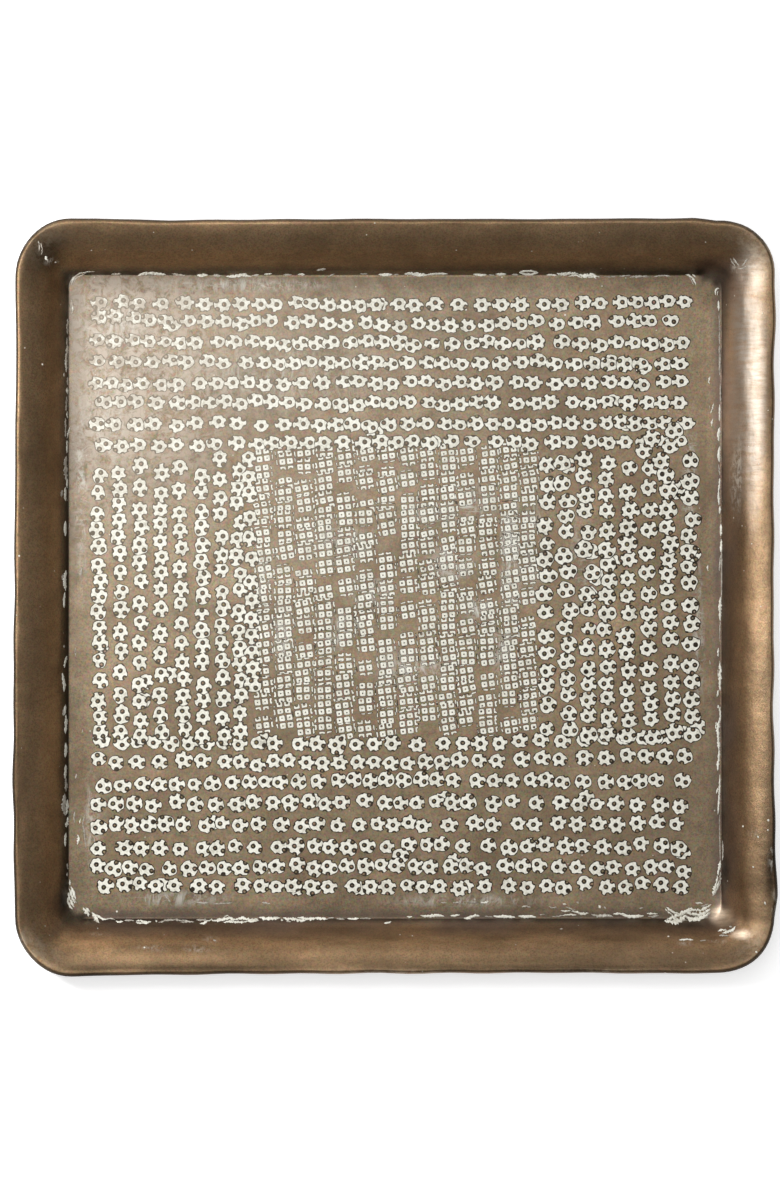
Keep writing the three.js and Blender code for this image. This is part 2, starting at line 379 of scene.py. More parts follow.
mat_edge = groove()
mat_chalk = chalk("white_filler", [(0.32, (0.42, 0.40, 0.335)), (0.44, (0.64, 0.62, 0.53)), (0.54, (0.76, 0.745, 0.66)), (0.64, (0.83, 0.815, 0.73))])
mat_worn = chalk("rubbed_filler", [(0.34, (0.16, 0.135, 0.105)), (0.48, (0.34, 0.31, 0.26)), (0.66, (0.62, 0.59, 0.52))])

# ------------------------------------------------------------------ punch marks
# The floor is a field of signed distances, in millimetres: above +LEVEL there is filler,
# below -LEVEL plain brass, and between them the sloping edge of the struck recess.
FX, FY = 167.0, 164.5                  # half sizes of the struck part of the floor
STEP = 0.18
LEVEL = 0.21
BAND_Y, BAND_X = 77.9, 78.4            # borders between the bands
gx = np.arange(-FX - 2, FX + 2, STEP)
gy = np.arange(-FY - 2, FY + 2, STEP)
F = np.full((len(gy), len(gx)), -2.0, np.float32)
rng = np.random.default_rng(20)

PITCH = 4.42                           # the rosette punch's hole pitch
ROWS3 = PITCH * math.sqrt(3) / 2


def window(cx, cy, r):
    i0, i1 = np.searchsorted(gx, (cx - r, cx + r))
    j0, j1 = np.searchsorted(gy, (cy - r, cy + r))
    return slice(j0, j1), slice(i0, i1)


def strike_rosette(cx, cy, angle, off, size, sx, sy, weak=0.0):
    """One blow of a domed punch whose face is drilled with a hexagonal pattern of holes."""
    w = window(cx, cy, 6.5)
    u, v = np.meshgrid(gx[w[1]] - cx, gy[w[0]] - cy)
    if u.size == 0:
        return
    th = np.arctan2(v, u)
    ph = rng.uniform(0, 6.28, 3)
    wob = 1 + 0.045 * np.sin(3 * th + ph[0]) + 0.035 * np.sin(5 * th + ph[1]) + 0.02 * np.sin(8 * th + ph[2])
    R = 4.58 * size * wob
    far = np.hypot(u / sx, v / sy)
    rho = far / R
    c, s = math.cos(angle), math.sin(angle)
    lu = c * (u - off[0]) + s * (v - off[1])
    lv = -s * (u - off[0]) + c * (v - off[1])
    best = np.full(u.shape, 99.0)
    row = np.floor(lv / ROWS3)
    for k in (0, 1):
        r = row + k
        shift = np.where(np.mod(r, 2) > 0.5, PITCH / 2, 0.0)
        du = lu - shift
        du = du - PITCH * np.round(du / PITCH)
        best = np.minimum(best, np.hypot(du, lv - r * ROWS3))
    f = best - (1.145 + 0.04 * weak + (0.10 + 0.32 * weak) * np.clip(rho, 0, 1.3) ** 6)
    f = np.where(f < 0, 0.34 * f, f)           # the wall of each hole is gentler than the mark's own edge
    f = np.minimum(f, R - far)
    over = np.clip((1.10 - rho) / 0.12, 0, 1)
    old = F[w]
    F[w] = np.where(over > 0, np.maximum(old, f) * (1 - over) + f * over, old)


def strike_grid(cx, cy, angle, off, size):
    """One blow of the waffle punch: square teeth, each with a small pit in its middle."""
    w = window(cx, cy, 7.5)
    u, v = np.meshgrid(gx[w[1]] - cx, gy[w[0]] - cy)
    if u.size == 0:
        return
    c, s = math.cos(angle), math.sin(angle)
    lu = c * u + s * v
    lv = -s * u + c * v
    rho = ((np.abs(lu) / (5.45 * size)) ** 3.0 + (np.abs(lv) / (4.9 * size)) ** 3.0) ** (1 / 3.0)
    P = 4.1
    iu = lu - off[0] - P * np.round((lu - off[0]) / P)
    iv = lv - off[1] - P * np.round((lv - off[1]) / P)
    half = 1.69 - 0.10 * rho ** 2
    f = 1.5 * (half - (np.abs(iu) ** 7 + np.abs(iv) ** 7) ** (1 / 7))
    pit = 0.30 + 1.30 * np.clip(rho - 0.62, 0, 0.5)
    f = np.minimum(f, 1.5 * (np.hypot(iu, iv) - pit))
    f = np.minimum(f, (1.0 - rho) * 9.0)
    over = np.clip((1.05 - rho) / 0.07, 0, 1)
    old = F[w]
    F[w] = np.where(over > 0, np.maximum(old, f) * (1 - over) + f * over, old)


def faint(x, y):
    """The filler is rubbed thinnest towards the back left corner."""
    d = math.hypot(x + 165, y - 150)
    return float(np.clip(1.05 - d / 110, 0, 0.9))


def spaced(a, b, mean=1.0):
    out = []
    t = a + rng.uniform(-2.0, 3.0)
    while t < b + 1.5:
        out.append(t)
        k = rng.random()
        t += mean * (rng.normal(8.5, 0.6) if k < 0.52 else rng.normal(10.2, 0.6) if k < 0.86 else rng.normal(12.2, 0.7))
    return out


# Line of each row: height at the left, middle and right. Eight at the back, eight in front.
BACK = [(157.4, 156.6, 157.7), (149.0, 146.1, 147.5), (137.1, 135.9, 135.8), (126.4, 125.6, 124.4),
        (114.2, 114.9, 114.9), (104.5, 103.7, 103.8), (92.4, 92.4, 93.2), (80.8, 82.9, 82.9)]
FRONT = [(-77.9, -79.5, -74.4), (-88.3, -88.9, -85.0), (-101.1, -98.4, -99.0), (-112.3, -109.9, -111.4),
         (-122.8, -122.0, -121.7), (-135.2, -133.6, -134.0), (-145.4, -144.6, -146.0), (-155.1, -155.3, -155.1)]
# Place of each column: at the back end and at the front end.
LEFT = [(-159.0, -158.4), (-148.4, -146.9), (-136.5, -136.7), (-125.3, -125.7), (-115.7, -113.2),
        (-103.7, -103.1), (-94.0, -91.9), (-84.3, -83.0)]
RIGHT = [(81.4, 81.6), (91.0, 93.8), (103.0, 103.9), (113.7, 113.8), (125.2, 124.9), (135.5, 137.2),
         (145.6, 149.5), (158.1, 159.3)]


def rosette(x, y, band, grip=(0.0, 0.0)):
    # lattice angle, where its main tooth falls, half width and half length against the mean
    turn_, tooth, sx, sy = {
        "back": (-24.0, (1.05, 0.10), 1.05, 0.84),
        "front": (-22.5, (-1.10, 0.28), 1.00, 0.91),
        "left": (5.0, (-0.10, 1.10), 0.93, 1.02),
        "right": (11.0, (-0.87, -0.70), 1.03, 0.98),
    }[band]
    weak = faint(x, y)
    off = np.array(tooth) + grip + rng.normal(0, 0.34, 2)
    strike_rosette(x, y, math.radians(turn_) + rng.normal(0, 0.07), off, rng.normal(1.0, 0.045) * (1 - 0.04 * weak),
                   sx * (1 + rng.normal(0, 0.03)), sy * (1 + rng.normal(0, 0.06)), 0.8 * weak + max(0.0, rng.normal(0, 0.16)))


def drift(n):
    """How the smith's grip wanders along one row."""
    k = max(3, n // 4)
    knots = rng.normal(0, 0.42, (k, 2)) + rng.normal(0, 0.28, 2)
    t = np.linspace(0, k - 1, n)
    return np.column_stack([np.interp(t, range(k), knots[:, 0]), np.interp(t, range(k), knots[:, 1])])


def grid_columns():
    for i in range(14):
        x0 = -70.6 + i * 11.0
        lane = rng.normal(0, 0.5)
        phase = rng.uniform(-0.6, 0.6)
        y = 78.0 + rng.uniform(-3, 2)
        while y > -74.5:
            ang = math.radians(8.0) + rng.normal(0, 0.035)
            strike_grid(x0 + lane + rng.normal(0, 0.45), y, ang, (phase + 2.05 + rng.normal(0, 0.35), rng.uniform(-2, 2)), rng.normal(1.0, 0.05))
            k = rng.random()
            y -= rng.normal(5.2, 0.9) if k < 0.34 else rng.normal(8.2, 0.7) if k < 0.82 else rng.normal(13.0, 1.8)


def row_marks(line, a, b, band, jitter, extra, spread):
    at = spaced(a, b, 1.04 if band == "front" else 1.0)
    for x, grip in zip(at, drift(len(at))):
        y = float(np.interp(x, (-160, 0, 160), line)) + rng.normal(0, jitter)
        if rng.random() < extra:
            rosette(x + rng.normal(2.5, 1), y + rng.normal(0, spread), band, grip)
        rosette(x, y, band, grip)


def column_marks(ends, a, b, band, jitter, extra, spread):
    at = spaced(a, b)
    for t, grip in zip(at, drift(len(at))):
        wide = jitter * (2.0 if extra > 0.1 and t > -20 else 1.0)
        x = float(np.interp(t, (-75, 75), ends[::-1])) + rng.normal(0, wide)
        if rng.random() < (extra if t > -15 else 0.03):
            rosette(x + rng.normal(2.5, spread), t + rng.normal(0, 2), band, grip)
        rosette(x, t, band, grip)


def bands():
    for line in BACK:
        row_marks(line, -158.5, 156.5, "back", 0.62, 0.07, 1.6)
    for line in FRONT:
        row_marks(line, -157.5, 157.0, "front", 0.62, 0.05, 1.8)
    for ends in LEFT:
        column_marks(ends, -73.5, 72.5, "left", 0.5, 0.03, 1.0)
    column_marks((-78.3, -75.5), -46, 73, "left", 0.5, 0.03, 1.0)
    for n, ends in enumerate(RIGHT):
        column_marks(ends, -73.5, 73.5, "right", 0.6, 0.16 if n in (0, 1, 2) else 0.03, 1.5)
    for x, y in ((135, 79), (141, 74), (147, 78.5), (138, 86), (150, 88)):
        rosette(x + rng.normal(0, 1), y + rng.normal(0, 1), "right")


grid_columns()
bands()
# Ragged edges: a slow random wobble of the level.
cells = 1.1
nx, ny = int(2 * (FX + 2) / cells) + 3, int(2 * (FY + 2) / cells) + 3
coarse = rng.normal(0, 1, (ny, nx)).astype(np.float32)
fi, fj = (gx - gx[0]) / cells, (gy - gy[0]) / cells
i0, j0 = fi.astype(int), fj.astype(int)
ti, tj = smoothstep(0, 1, fi - i0).astype(np.float32), smoothstep(0, 1, fj - j0).astype(np.float32)
rowmix = coarse[:, i0] * (1 - ti) + coarse[:, i0 + 1] * ti
F += 0.062 * (rowmix[j0] * (1 - tj)[:, None] + rowmix[j0 + 1] * tj[:, None])
edge = np.minimum(FX - 0.6 - np.abs(gx)[None, :], FY - 0.6 - np.abs(gy)[:, None])
F = np.minimum(F, edge.astype(np.float32))


def contours(level):
    """Closed outlines of the field at a level, as (points, next index), with filler on the left."""
    A = F - level
    pos = A > 0
    H, W = A.shape
    case = (pos[:-1, :-1] * 1 + pos[:-1, 1:] * 2 + pos[1:, 1:] * 4 + pos[1:, :-1] * 8).astype(np.int8)
    jj, ii = np.nonzero((case != 0) & (case != 15))
    cs = case[jj, ii]
    mid = (A[jj, ii] + A[jj, ii + 1] + A[jj + 1, ii + 1] + A[jj + 1, ii]) > 0
    hb = jj * W + ii                   # bottom edge of the cell
    ht = (jj + 1) * W + ii
    vl = H * W + jj * W + ii           # left edge
    vr = H * W + jj * W + ii + 1
    E = {"b": hb, "t": ht, "l": vl, "r": vr}
    # start, end of each segment so that the high side is on the left
    table = {1: ["bl"], 2: ["rb"], 3: ["rl"], 4: ["tr"], 6: ["tb"], 7: ["tl"], 8: ["lt"], 9: ["bt"],
             11: ["rt"], 12: ["lr"], 13: ["br"], 14: ["lb"]}
    starts, ends = [], []
    for c, segs in table.items():
        m = cs == c
        for s in segs:
            starts.append(E[s[0]][m])
            ends.append(E[s[1]][m])
    for c, joined, apart in ((5, ["br", "tl"], ["bl", "tr"]), (10, ["rt", "lb"], ["rb", "lt"])):
        for m, segs in (((cs == c) & mid, joined), ((cs == c) & ~mid, apart)):
            for s in segs:
                starts.append(E[s[0]][m])
                ends.append(E[s[1]][m])
    starts, ends = np.concatenate(starts), np.concatenate(ends)
    nxt = np.full(2 * H * W, -1, np.int64)
    nxt[starts] = ends
    ids = np.unique(starts)
    hor = ids < H * W
    k = np.where(hor, ids, ids - H * W)
    j, i = k // W, k % W
    j2, i2 = np.where(hor, j, j + 1), np.where(hor, i + 1, i)
    a, b = A[j, i], A[j2, i2]
    t = a / (a - b)
    px = gx[0] + STEP * (i + t * (i2 - i))
    py = gy[0] + STEP * (j + t * (j2 - j))
    follow = np.searchsorted(ids, nxt[ids])
    return np.stack([px, py], 1), follow


def loops_from(points, follow, tol, min_area, min_pts=4):
    n = len(points)
    nxt = follow.copy()
    prv = np.empty(n, np.int64)
    prv[nxt] = np.arange(n)
    alive = np.ones(n, bool)
    P = points.copy()
    P = 0.5 * P + 0.25 * (P[prv] + P[nxt])      # takes the grid's steps off
    for it in range(14):
        idx = np.nonzero(alive)[0]
        a, b, c = P[prv[idx]], P[idx], P[nxt[idx]]
        d = c - a
        L = np.hypot(d[:, 0], d[:, 1]) + 1e-9
        hgt = np.abs(d[:, 0] * (b[:, 1] - a[:, 1]) - d[:, 1] * (b[:, 0] - a[:, 0])) / L
        score = np.full(n, 1e9)
        score[idx] = hgt + 1e-7 * (idx % 97) + 0.02 * np.minimum(L, 6) / 6
        cand = (hgt < tol) & (L < 3.0)
        lowest = (score[idx] <= score[prv[idx]]) & (score[idx] < score[nxt[idx]])
        kill = idx[cand & lowest]
        if len(kill) == 0:
            break
        nxt[prv[kill]] = nxt[kill]
        prv[nxt[kill]] = prv[kill]
        # two neighbours are never both killed, since lowest is strict on one side
        alive[kill] = False
    out = []
    seen = ~alive
    nl = nxt.tolist()
    seen = seen.tolist()
    for s in range(n):
        if seen[s]:
            continue
        loop = []
        k = s
        while not seen[k]:
            seen[k] = True
            loop.append(k)
            k = nl[k]
        if len(loop) < min_pts:
            continue
        q = P[loop]
        area = 0.5 * np.sum(q[:, 0] * np.roll(q[:, 1], -1) - np.roll(q[:, 0], -1) * q[:, 1])
        if abs(area) < min_area:
            continue
        out.append((q, area))
    return out


outer = loops_from(*contours(-LEVEL), 0.055, 0.30)
inner = loops_from(*contours(LEVEL), 0.050, 0.16)

# ------------------------------------------------------------------ rim outline
SIDE_PTS, CORNER_PTS = 84, 14


def plan(hx, hy, r):
    """Points round a rounded rectangle, the same number and order for every one: from the right
    end of the back side's corner, anticlockwise. Also each point's outward direction."""
    pts, nor = [], []
    for corner in range(4):
        sx = 1 if corner in (0, 3) else -1
        sy = 1 if corner < 2 else -1
        cx, cy = sx * (hx - r), sy * (hy - r)
        for i in range(CORNER_PTS + 1):
            a = (corner + i / CORNER_PTS) * math.pi / 2
            pts.append((cx + r * math.cos(a), cy + r * math.sin(a)))
            nor.append((math.cos(a), math.sin(a)))
        a = (corner + 1) * math.pi / 2
        nc = (corner + 1) % 4
        tx = 1 if nc in (0, 3) else -1
        ty = 1 if nc < 2 else -1
        b = (tx * (hx - r) + r * math.cos(a), ty * (hy - r) + r * math.sin(a))
        for i in range(1, SIDE_PTS):
            t = i / SIDE_PTS
            t = t - 0.125 * math.sin(2 * math.pi * t)       # closer together near the corners
            pts.append((pts_last(pts, corner)[0] * (1 - t) + b[0] * t, pts_last(pts, corner)[1] * (1 - t) + b[1] * t))
            nor.append((math.cos(a), math.sin(a)))
    return np.array(pts), np.array(nor)


def pts_last(pts, corner):
    return pts[corner * (CORNER_PTS + SIDE_PTS) + CORNER_PTS]


field_ring, _ = plan(FX, FY, 2.0)
NR = len(field_ring)
for sx in (-1, 1):                     # one point of each side lies on each border between bands
    for yb in (-BAND_Y, BAND_Y):
        field_ring[np.argmin(np.hypot(field_ring[:, 0] - sx * FX, field_ring[:, 1] - yb)), 1] = yb

# ------------------------------------------------------------------ triangulate the floor
verts2, edges2, kind = [], [], []


def add_loop(q, k):
    b = len(verts2)
    m = len(q)
    verts2.extend(map(tuple, q))
    edges2.extend((b + i, b + (i + 1) % m) for i in range(m))
    kind.extend([k] * m)


OUT_V, IN_V, DOT_V, APEX_V, FREE_V = 1, 2, 3, 4, 0
add_loop(field_ring, FREE_V)
dots = 0
for q, area in outer:
    small = area < 0 and -area < 9.0
    add_loop(q, DOT_V if small else OUT_V)
    if small:
        verts2.append(tuple(q.mean(0)))
        kind.append(APEX_V)
        dots += 1
for q, area in inner:
    add_loop(q, IN_V)


def add_line(a, b, n):
    base = len(verts2)
    for i in range(n + 1):
        t = i / n
        verts2.append((a[0] * (1 - t) + b[0] * t, a[1] * (1 - t) + b[1] * t))
        kind.append(FREE_V)
    edges2.extend((base + i, base + i + 1) for i in range(n))


# The ends of the long lines land on points of the field ring, so that nothing is split.
YB, YF = BAND_Y, -BAND_Y
add_line((-FX, YB), (FX, YB), 8)
add_line((-FX, YF), (FX, YF), 8)
add_line((-BAND_X, YF), (-BAND_X, YB), 4)
add_line((BAND_X, YF), (BAND_X, YB), 4)

res = delaunay_2d_cdt([Vector(v) for v in verts2], edges2, [], 0, 1e-5, True)
V2 = np.array([(v[0], v[1]) for v in res[0]])
T = np.array(res[2], np.int64)
kind = np.array(kind)
vkind = np.array([kind[o[0]] if len(o) else -1 for o in res[3]])


def sample(p):
    x = np.clip((p[:, 0] - gx[0]) / STEP, 0, len(gx) - 2.001)
    y = np.clip((p[:, 1] - gy[0]) / STEP, 0, len(gy) - 2.001)
    i, j = x.astype(int), y.astype(int)
    a, b = x - i, y - j
    return (F[j, i] * (1 - a) * (1 - b) + F[j, i + 1] * a * (1 - b) + F[j + 1, i] * (1 - a) * b + F[j + 1, i + 1] * a * b)


# Areas between outlines: connected triangles share one class, voted by their area.
n2 = len(V2)
fixed = {(min(a, b) * (n2 + 1) + max(a, b)) for (a, b), o in zip(res[1], res[4]) if len(o)}
fixed = np.sort(np.array(list(fixed), np.int64))
te = np.concatenate([T[:, [0, 1]], T[:, [1, 2]], T[:, [2, 0]]])
tk = np.minimum(te[:, 0], te[:, 1]) * (n2 + 1) + np.maximum(te[:, 0], te[:, 1])
ti_ = np.tile(np.arange(len(T)), 3)
order = np.argsort(tk, kind="stable")
ks, tis = tk[order], ti_[order]
same = ks[:-1] == ks[1:]
pair_a, pair_b, pair_k = tis[:-1][same], tis[1:][same], ks[:-1][same]
at = np.clip(np.searchsorted(fixed, pair_k), 0, len(fixed) - 1)
isfix = fixed[at] == pair_k
open_a, open_b = pair_a[~isfix], pair_b[~isfix]
label = np.arange(len(T))
for _ in range(400):
    before = label.copy()
    m = np.minimum(label[open_a], label[open_b])
    np.minimum.at(label, open_a, m)
    np.minimum.at(label, open_b, m)
    label = label[label]
    label = label[label]
    if np.array_equal(before, label):
        break
ta, tb, tc = V2[T[:, 0]], V2[T[:, 1]], V2[T[:, 2]]
tarea = 0.5 * np.abs((tb[:, 0] - ta[:, 0]) * (tc[:, 1] - ta[:, 1]) - (tb[:, 1] - ta[:, 1]) * (tc[:, 0] - ta[:, 0]))
cen = (ta + tb + tc) / 3
fc = sample(cen)
uniq, inv = np.unique(label, return_inverse=True)
votes = np.stack([np.bincount(inv, weights=tarea * w, minlength=len(uniq))
                  for w in ((fc < -LEVEL) * 1.0, (np.abs(fc) <= LEVEL) * 1.0, (fc > LEVEL) * 1.0)], 1)
PLAIN, RING, WHITE = 0, 1, 2
cls = np.argmax(votes, 1)[inv]
# a sloping edge with no filler beside it is no recess at all
beside = np.zeros(len(uniq), bool)
fa, fb = pair_a[isfix], pair_b[isfix]
beside[inv[fa[cls[fb] == WHITE]]] = True
beside[inv[fb[cls[fa] == WHITE]]] = True
cls[(cls == RING) & ~beside[inv]] = PLAIN
# outside the field ring
inside = (np.abs(cen[:, 0]) < FX) & (np.abs(cen[:, 1]) < FY)
from_corner = np.hypot(np.maximum(np.abs(cen[:, 0]) - (FX - 2), 0), np.maximum(np.abs(cen[:, 1]) - (FY - 2), 0))
inside &= from_corner < 2.0
T, cls, cen, tarea = T[inside], cls[inside], cen[inside], tarea[inside]
print("field: triangles", len(T), "dots", dots, "loops", len(outer), len(inner), "white share", float(tarea[cls == WHITE].sum() / tarea.sum()))

DEPTH = 0.24
FILL_TOP = 0.03
fv = sample(V2)
zv = np.full(n2, FLOOR_Z)
touch = np.zeros((n2, 3), bool)
for k in range(3):
    touch[T[:, k], cls] = True
zv[vkind == IN_V] = FLOOR_Z - DEPTH
loose = (vkind <= 0)
only_white = loose & touch[:, WHITE] & ~touch[:, PLAIN]
zv[only_white] = FLOOR_Z - DEPTH
mixed = loose & touch[:, RING] & ~touch[:, PLAIN] & ~touch[:, WHITE]
zv[mixed] = FLOOR_Z - DEPTH / 2
zv[vkind == DOT_V] = FLOOR_Z - 0.06
zv[vkind == APEX_V] = FLOOR_Z - 0.01


def tile_of(c):
    t = np.full(len(c), 4)
    t[(c[:, 0] < -BAND_X)] = 2
    t[(c[:, 0] > BAND_X)] = 3
    t[(c[:, 1] > YB)] = 0
    t[(c[:, 1] < YF)] = 1
    return t


tile = tile_of(cen)
TILES = ["back", "front", "left", "right", "centre"]


def edge_classes(tris, tcls, n):
    e = np.concatenate([tris[:, [0, 1]], tris[:, [1, 2]], tris[:, [2, 0]]])
    c = np.tile(tcls, 3)
    k = np.minimum(e[:, 0], e[:, 1]) * (n + 1) + np.maximum(e[:, 0], e[:, 1])
    return e, c, k


def compact(tris):
    used, inv_ = np.unique(tris, return_inverse=True)
    return used, inv_.reshape(tris.shape)


def boundary(tris):
    """Directed edges that only one triangle has."""
    n = tris.max() + 1
    e = np.concatenate([tris[:, [0, 1]], tris[:, [1, 2]], tris[:, [2, 0]]])
    k = np.minimum(e[:, 0], e[:, 1]) * (n + 1) + np.maximum(e[:, 0], e[:, 1])
    u, first, cnt = np.unique(k, return_index=True, return_counts=True)
    return e[first[cnt == 1]]


def anticlockwise(tris, P):
    a, b, c = P[tris[:, 0]], P[tris[:, 1]], P[tris[:, 2]]
    s = (b[:, 0] - a[:, 0]) * (c[:, 1] - a[:, 1]) - (b[:, 1] - a[:, 1]) * (c[:, 0] - a[:, 0])
    tris = tris.copy()
    m = s < 0
    tris[m] = tris[m][:, [0, 2, 1]]
    return tris


T = anticlockwise(T, V2)
floor_parts = []
for t, name in enumerate(TILES):
    sel = tile == t
    used, tris = compact(T[sel])
    tcls = cls[sel]
    P = V2[used]
    z = zv[used]
    n = len(used)
    top = np.column_stack([P, z])
    be = boundary(tris)
    bset = np.unique(be)
    low_index = np.full(n, -1)
    low_index[bset] = n + np.arange(len(bset))
    low = np.column_stack([P[bset], np.zeros(len(bset))])
    faces = [tuple(f) for f in tris.tolist()]
    mats = np.where(tcls == PLAIN, 0, 1).tolist()
    rounded = (tcls != PLAIN) | (vkind[used][tris] == APEX_V).any(1)
    for a, b in be.tolist():
        faces.append((b, a, low_index[a], low_index[b]))
        mats.append(0)
    # underside: the boundary alone, triangulated afresh
    bl = {int(v): i for i, v in enumerate(bset)}
    r = delaunay_2d_cdt([Vector(P[v]) for v in bset], [(bl[a], bl[b]) for a, b in be.tolist()], [], 1, 1e-6, True)
    back = [o[0] if len(o) else 0 for o in r[3]]
    for f in r[2]:
        ids = [n + back[v] for v in f]
        q = [low[v - n] for v in ids]
        s = (q[1][0] - q[0][0]) * (q[2][1] - q[0][1]) - (q[1][1] - q[0][1]) * (q[2][0] - q[0][0])
        faces.append(tuple(ids[::-1]) if s > 0 else tuple(ids))
        mats.append(0)
    total = n + len(bset)
    e, c, k = edge_classes(tris, tcls, total)
    o = np.argsort(k, kind="stable")
    ks_, cs_, es_ = k[o], c[o], e[o]
    s_ = ks_[:-1] == ks_[1:]
    diff = s_ & (cs_[:-1] != cs_[1:])
    vk = vkind[used]
    dotty = (vk[es_[:-1, 0]] == DOT_V)
    sharp = set(ks_[:-1][diff & ~dotty].tolist())
    for a, b in be.tolist():
        sharp.add(edge_key(a, b, total))
        sharp.add(edge_key(low_index[a], low_index[b], total))
    rounded = np.concatenate([rounded, np.zeros(len(faces) - len(rounded), bool)])
    obj = new_object("tray_floor_" + name, np.vstack([top, low]), faces, [mat_brass, mat_edge], mats, rounded, sharp)
    floor_parts.append(obj)
    # filler of this band
    w = tcls == WHITE
    used2, wt = compact(tris[w])
    Pw = P[used2]
    m = len(used2)
    wtop = np.column_stack([Pw, np.full(m, FLOOR_Z - FILL_TOP)])
    wlow = np.column_stack([Pw, np.full(m, FLOOR_Z - DEPTH + 0.01)])
    wf = [tuple(f) for f in wt.tolist()] + [(a + m, c_ + m, b + m) for a, b, c_ in wt.tolist()]
    wb = boundary(wt)
    sh = set()
    for a, b in wb.tolist():
        wf.append((b, a, a + m, b + m))
        sh.add(edge_key(a, b, 2 * m))
        sh.add(edge_key(a + m, b + m, 2 * m))
    fill = new_object("filler_" + name, np.vstack([wtop, wlow]), wf, [mat_chalk], None, True, sh)
    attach(obj, "root")
    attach(fill, "root")
    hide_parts("tray_body")
    names = {"back": [f"fill_back_row_{i + 1}" for i in range(8)], "front": [f"fill_front_row_{i + 1}" for i in range(8)],
             "left": [f"fill_left_column_{i + 1}" for i in range(8)], "right": [f"fill_right_column_{i + 1}" for i in range(8)],
             "centre": [f"fill_grid_column_{i + 1}" for i in range(14)]}[name]
    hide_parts(*names)
    print(name, "floor faces", len(faces), "filler faces", len(wf))

# ------------------------------------------------------------------ rim
# Section through the rim: [distance out from the crease, height]. Inside the crease the
# floor sinks into a shallow gutter.
SECTION = [
    (-7.6, FLOOR_Z), (-6.4, FLOOR_Z - 0.01), (-5.4, FLOOR_Z - 0.03), (-4.4, FLOOR_Z - 0.06), (-3.5, FLOOR_Z - 0.10), (-2.6, FLOOR_Z - 0.15),
    (-1.8, FLOOR_Z - 0.21), (-1.1, FLOOR_Z - 0.27), (-0.5, FLOOR_Z - 0.32), (-0.1, FLOOR_Z - 0.33), (0.15, FLOOR_Z - 0.20), (0.4, FLOOR_Z + 0.3),
    (0.9, 2.35), (1.6, 3.8), (2.6, 5.75), (3.8, 7.95), (5.0, 9.95), (6.5, 12.2), (8.0, 14.2), (9.5, 16.0),
    (11.0, 17.6), (12.5, 19.0), (14.0, 20.2), (15.5, 21.25), (17.0, 22.2), (18.5, 23.05), (20.0, 23.8), (21.5, 24.45), (23.0, 25.0),
    (24.3, 25.43), (25.4, 25.74), (26.2, 25.86), (26.8, 25.72), (27.3, 25.2), (27.65, 24.3), (27.87, 23.1), (27.97, 21.7), (28.0, 20.2), (28.0, 18.8), (28.0, 17.5),
]
sec = np.array(SECTION)
d_in = sec[0, 0]


def soft_profile(d, z):
    """Section at a floor corner, where the crease is beaten out into a soft curve."""
    out = z.copy()
    m = (d > -5.5) & (d < 6.5)
    top_ = np.interp(6.5, d, z)
    t = (d[m] + 5.5) / 12.0
    out[m] = FLOOR_Z + (top_ - FLOOR_Z) * t ** 2.6
    return out


z_soft = soft_profile(sec[:, 0], sec[:, 1])
ring_pts, ring_nor = plan(OUT_X, OUT_Y, 30.0)
per = CORNER_PTS + SIDE_PTS
idx = np.arange(NR)
crease_ring, _ = plan(CREASE_X, CREASE_Y, 7.0)
softness = np.zeros(NR)
# right back, left back, left front, right front: where along the corner the crease is lost, how far, how much
for k, (shift, reach, amount) in enumerate(((3.0, 12.0, 0.9), (0.0, 6.0, 0.0), (0.0, 8.0, 0.75), (0.0, 12.0, 0.9))):
    mid = k * per + CORNER_PTS // 2
    steps = np.hypot(*(np.roll(crease_ring, -1, 0) - crease_ring).T)
    run_ = np.concatenate([[0], np.cumsum(steps)[:-1]])
    s_ = run_ - run_[mid]
    s_ = (s_ + steps.sum() / 2) % steps.sum() - steps.sum() / 2
    softness = np.maximum(softness, amount * smoothstep(reach, reach * 0.25, np.abs(s_ - shift)))

# Hand-made outline: how far each side stands out from straight, in millimetres.
nom = ring_pts
OUTLINE = {
    "left": ([-172, -160, -140, -110, -80, -30, 30, 60, 100, 130, 170], [0.3, 0.7, 1.1, 1.6, 1.45, 1.2, 0.7, 0.6, 0.15, -0.1, 0.2]),
    "right": ([-172, -160, -140, -110, -60, -20, 40, 80, 120, 150, 170, 185], [0.5, 1.7, 1.2, 0.4, -0.1, 0.0, 0.0, 0.1, 0.3, 0.8, 0.6, 0.9]),
    "back": ([-170, -160, -145, -120, -60, 0, 60, 120, 150, 160, 172, 182, 190], [0.6, 0.7, 0.1, -0.35, 0.2, 0.4, 0.3, 0.5, 0.9, 0.8, -0.9, -0.1, 0.8]),
    "front": ([-170, -150, -100, -40, 40, 90, 140, 170], [1.3, 0.9, 0.2, -0.1, -0.3, -0.6, -0.1, -0.4]),
}
bulge = np.zeros(NR)
for i in range(NR):
    x, y = nom[i]
    nx_, ny_ = ring_nor[i]
    side_w = {"left": max(0, -nx_) ** 2, "right": max(0, nx_) ** 2, "back": max(0, ny_) ** 2, "front": max(0, -ny_) ** 2}
    for k, w in side_w.items():
        if w > 0:
            c, v = OUTLINE[k]
            bulge[i] += w * np.interp(y if k in ("left", "right") else x, c, v)
# Perimeter coordinate, for beating marks along the rim.
seg = np.hypot(*(np.roll(nom, -1, 0) - nom).T)
along = np.concatenate([[0], np.cumsum(seg)[:-1]])
total_len = seg.sum()


def waves(s, seed, count, longest, amp):
    r = np.random.default_rng(seed)
    out = np.zeros_like(s)
    for _ in range(count):
        k = max(1, round(total_len / r.uniform(longest * 0.35, longest)))
        out += math.sqrt(2.0 / count) * amp * np.sin(2 * math.pi * k * s / total_len + r.uniform(0, 6.28))
    return out


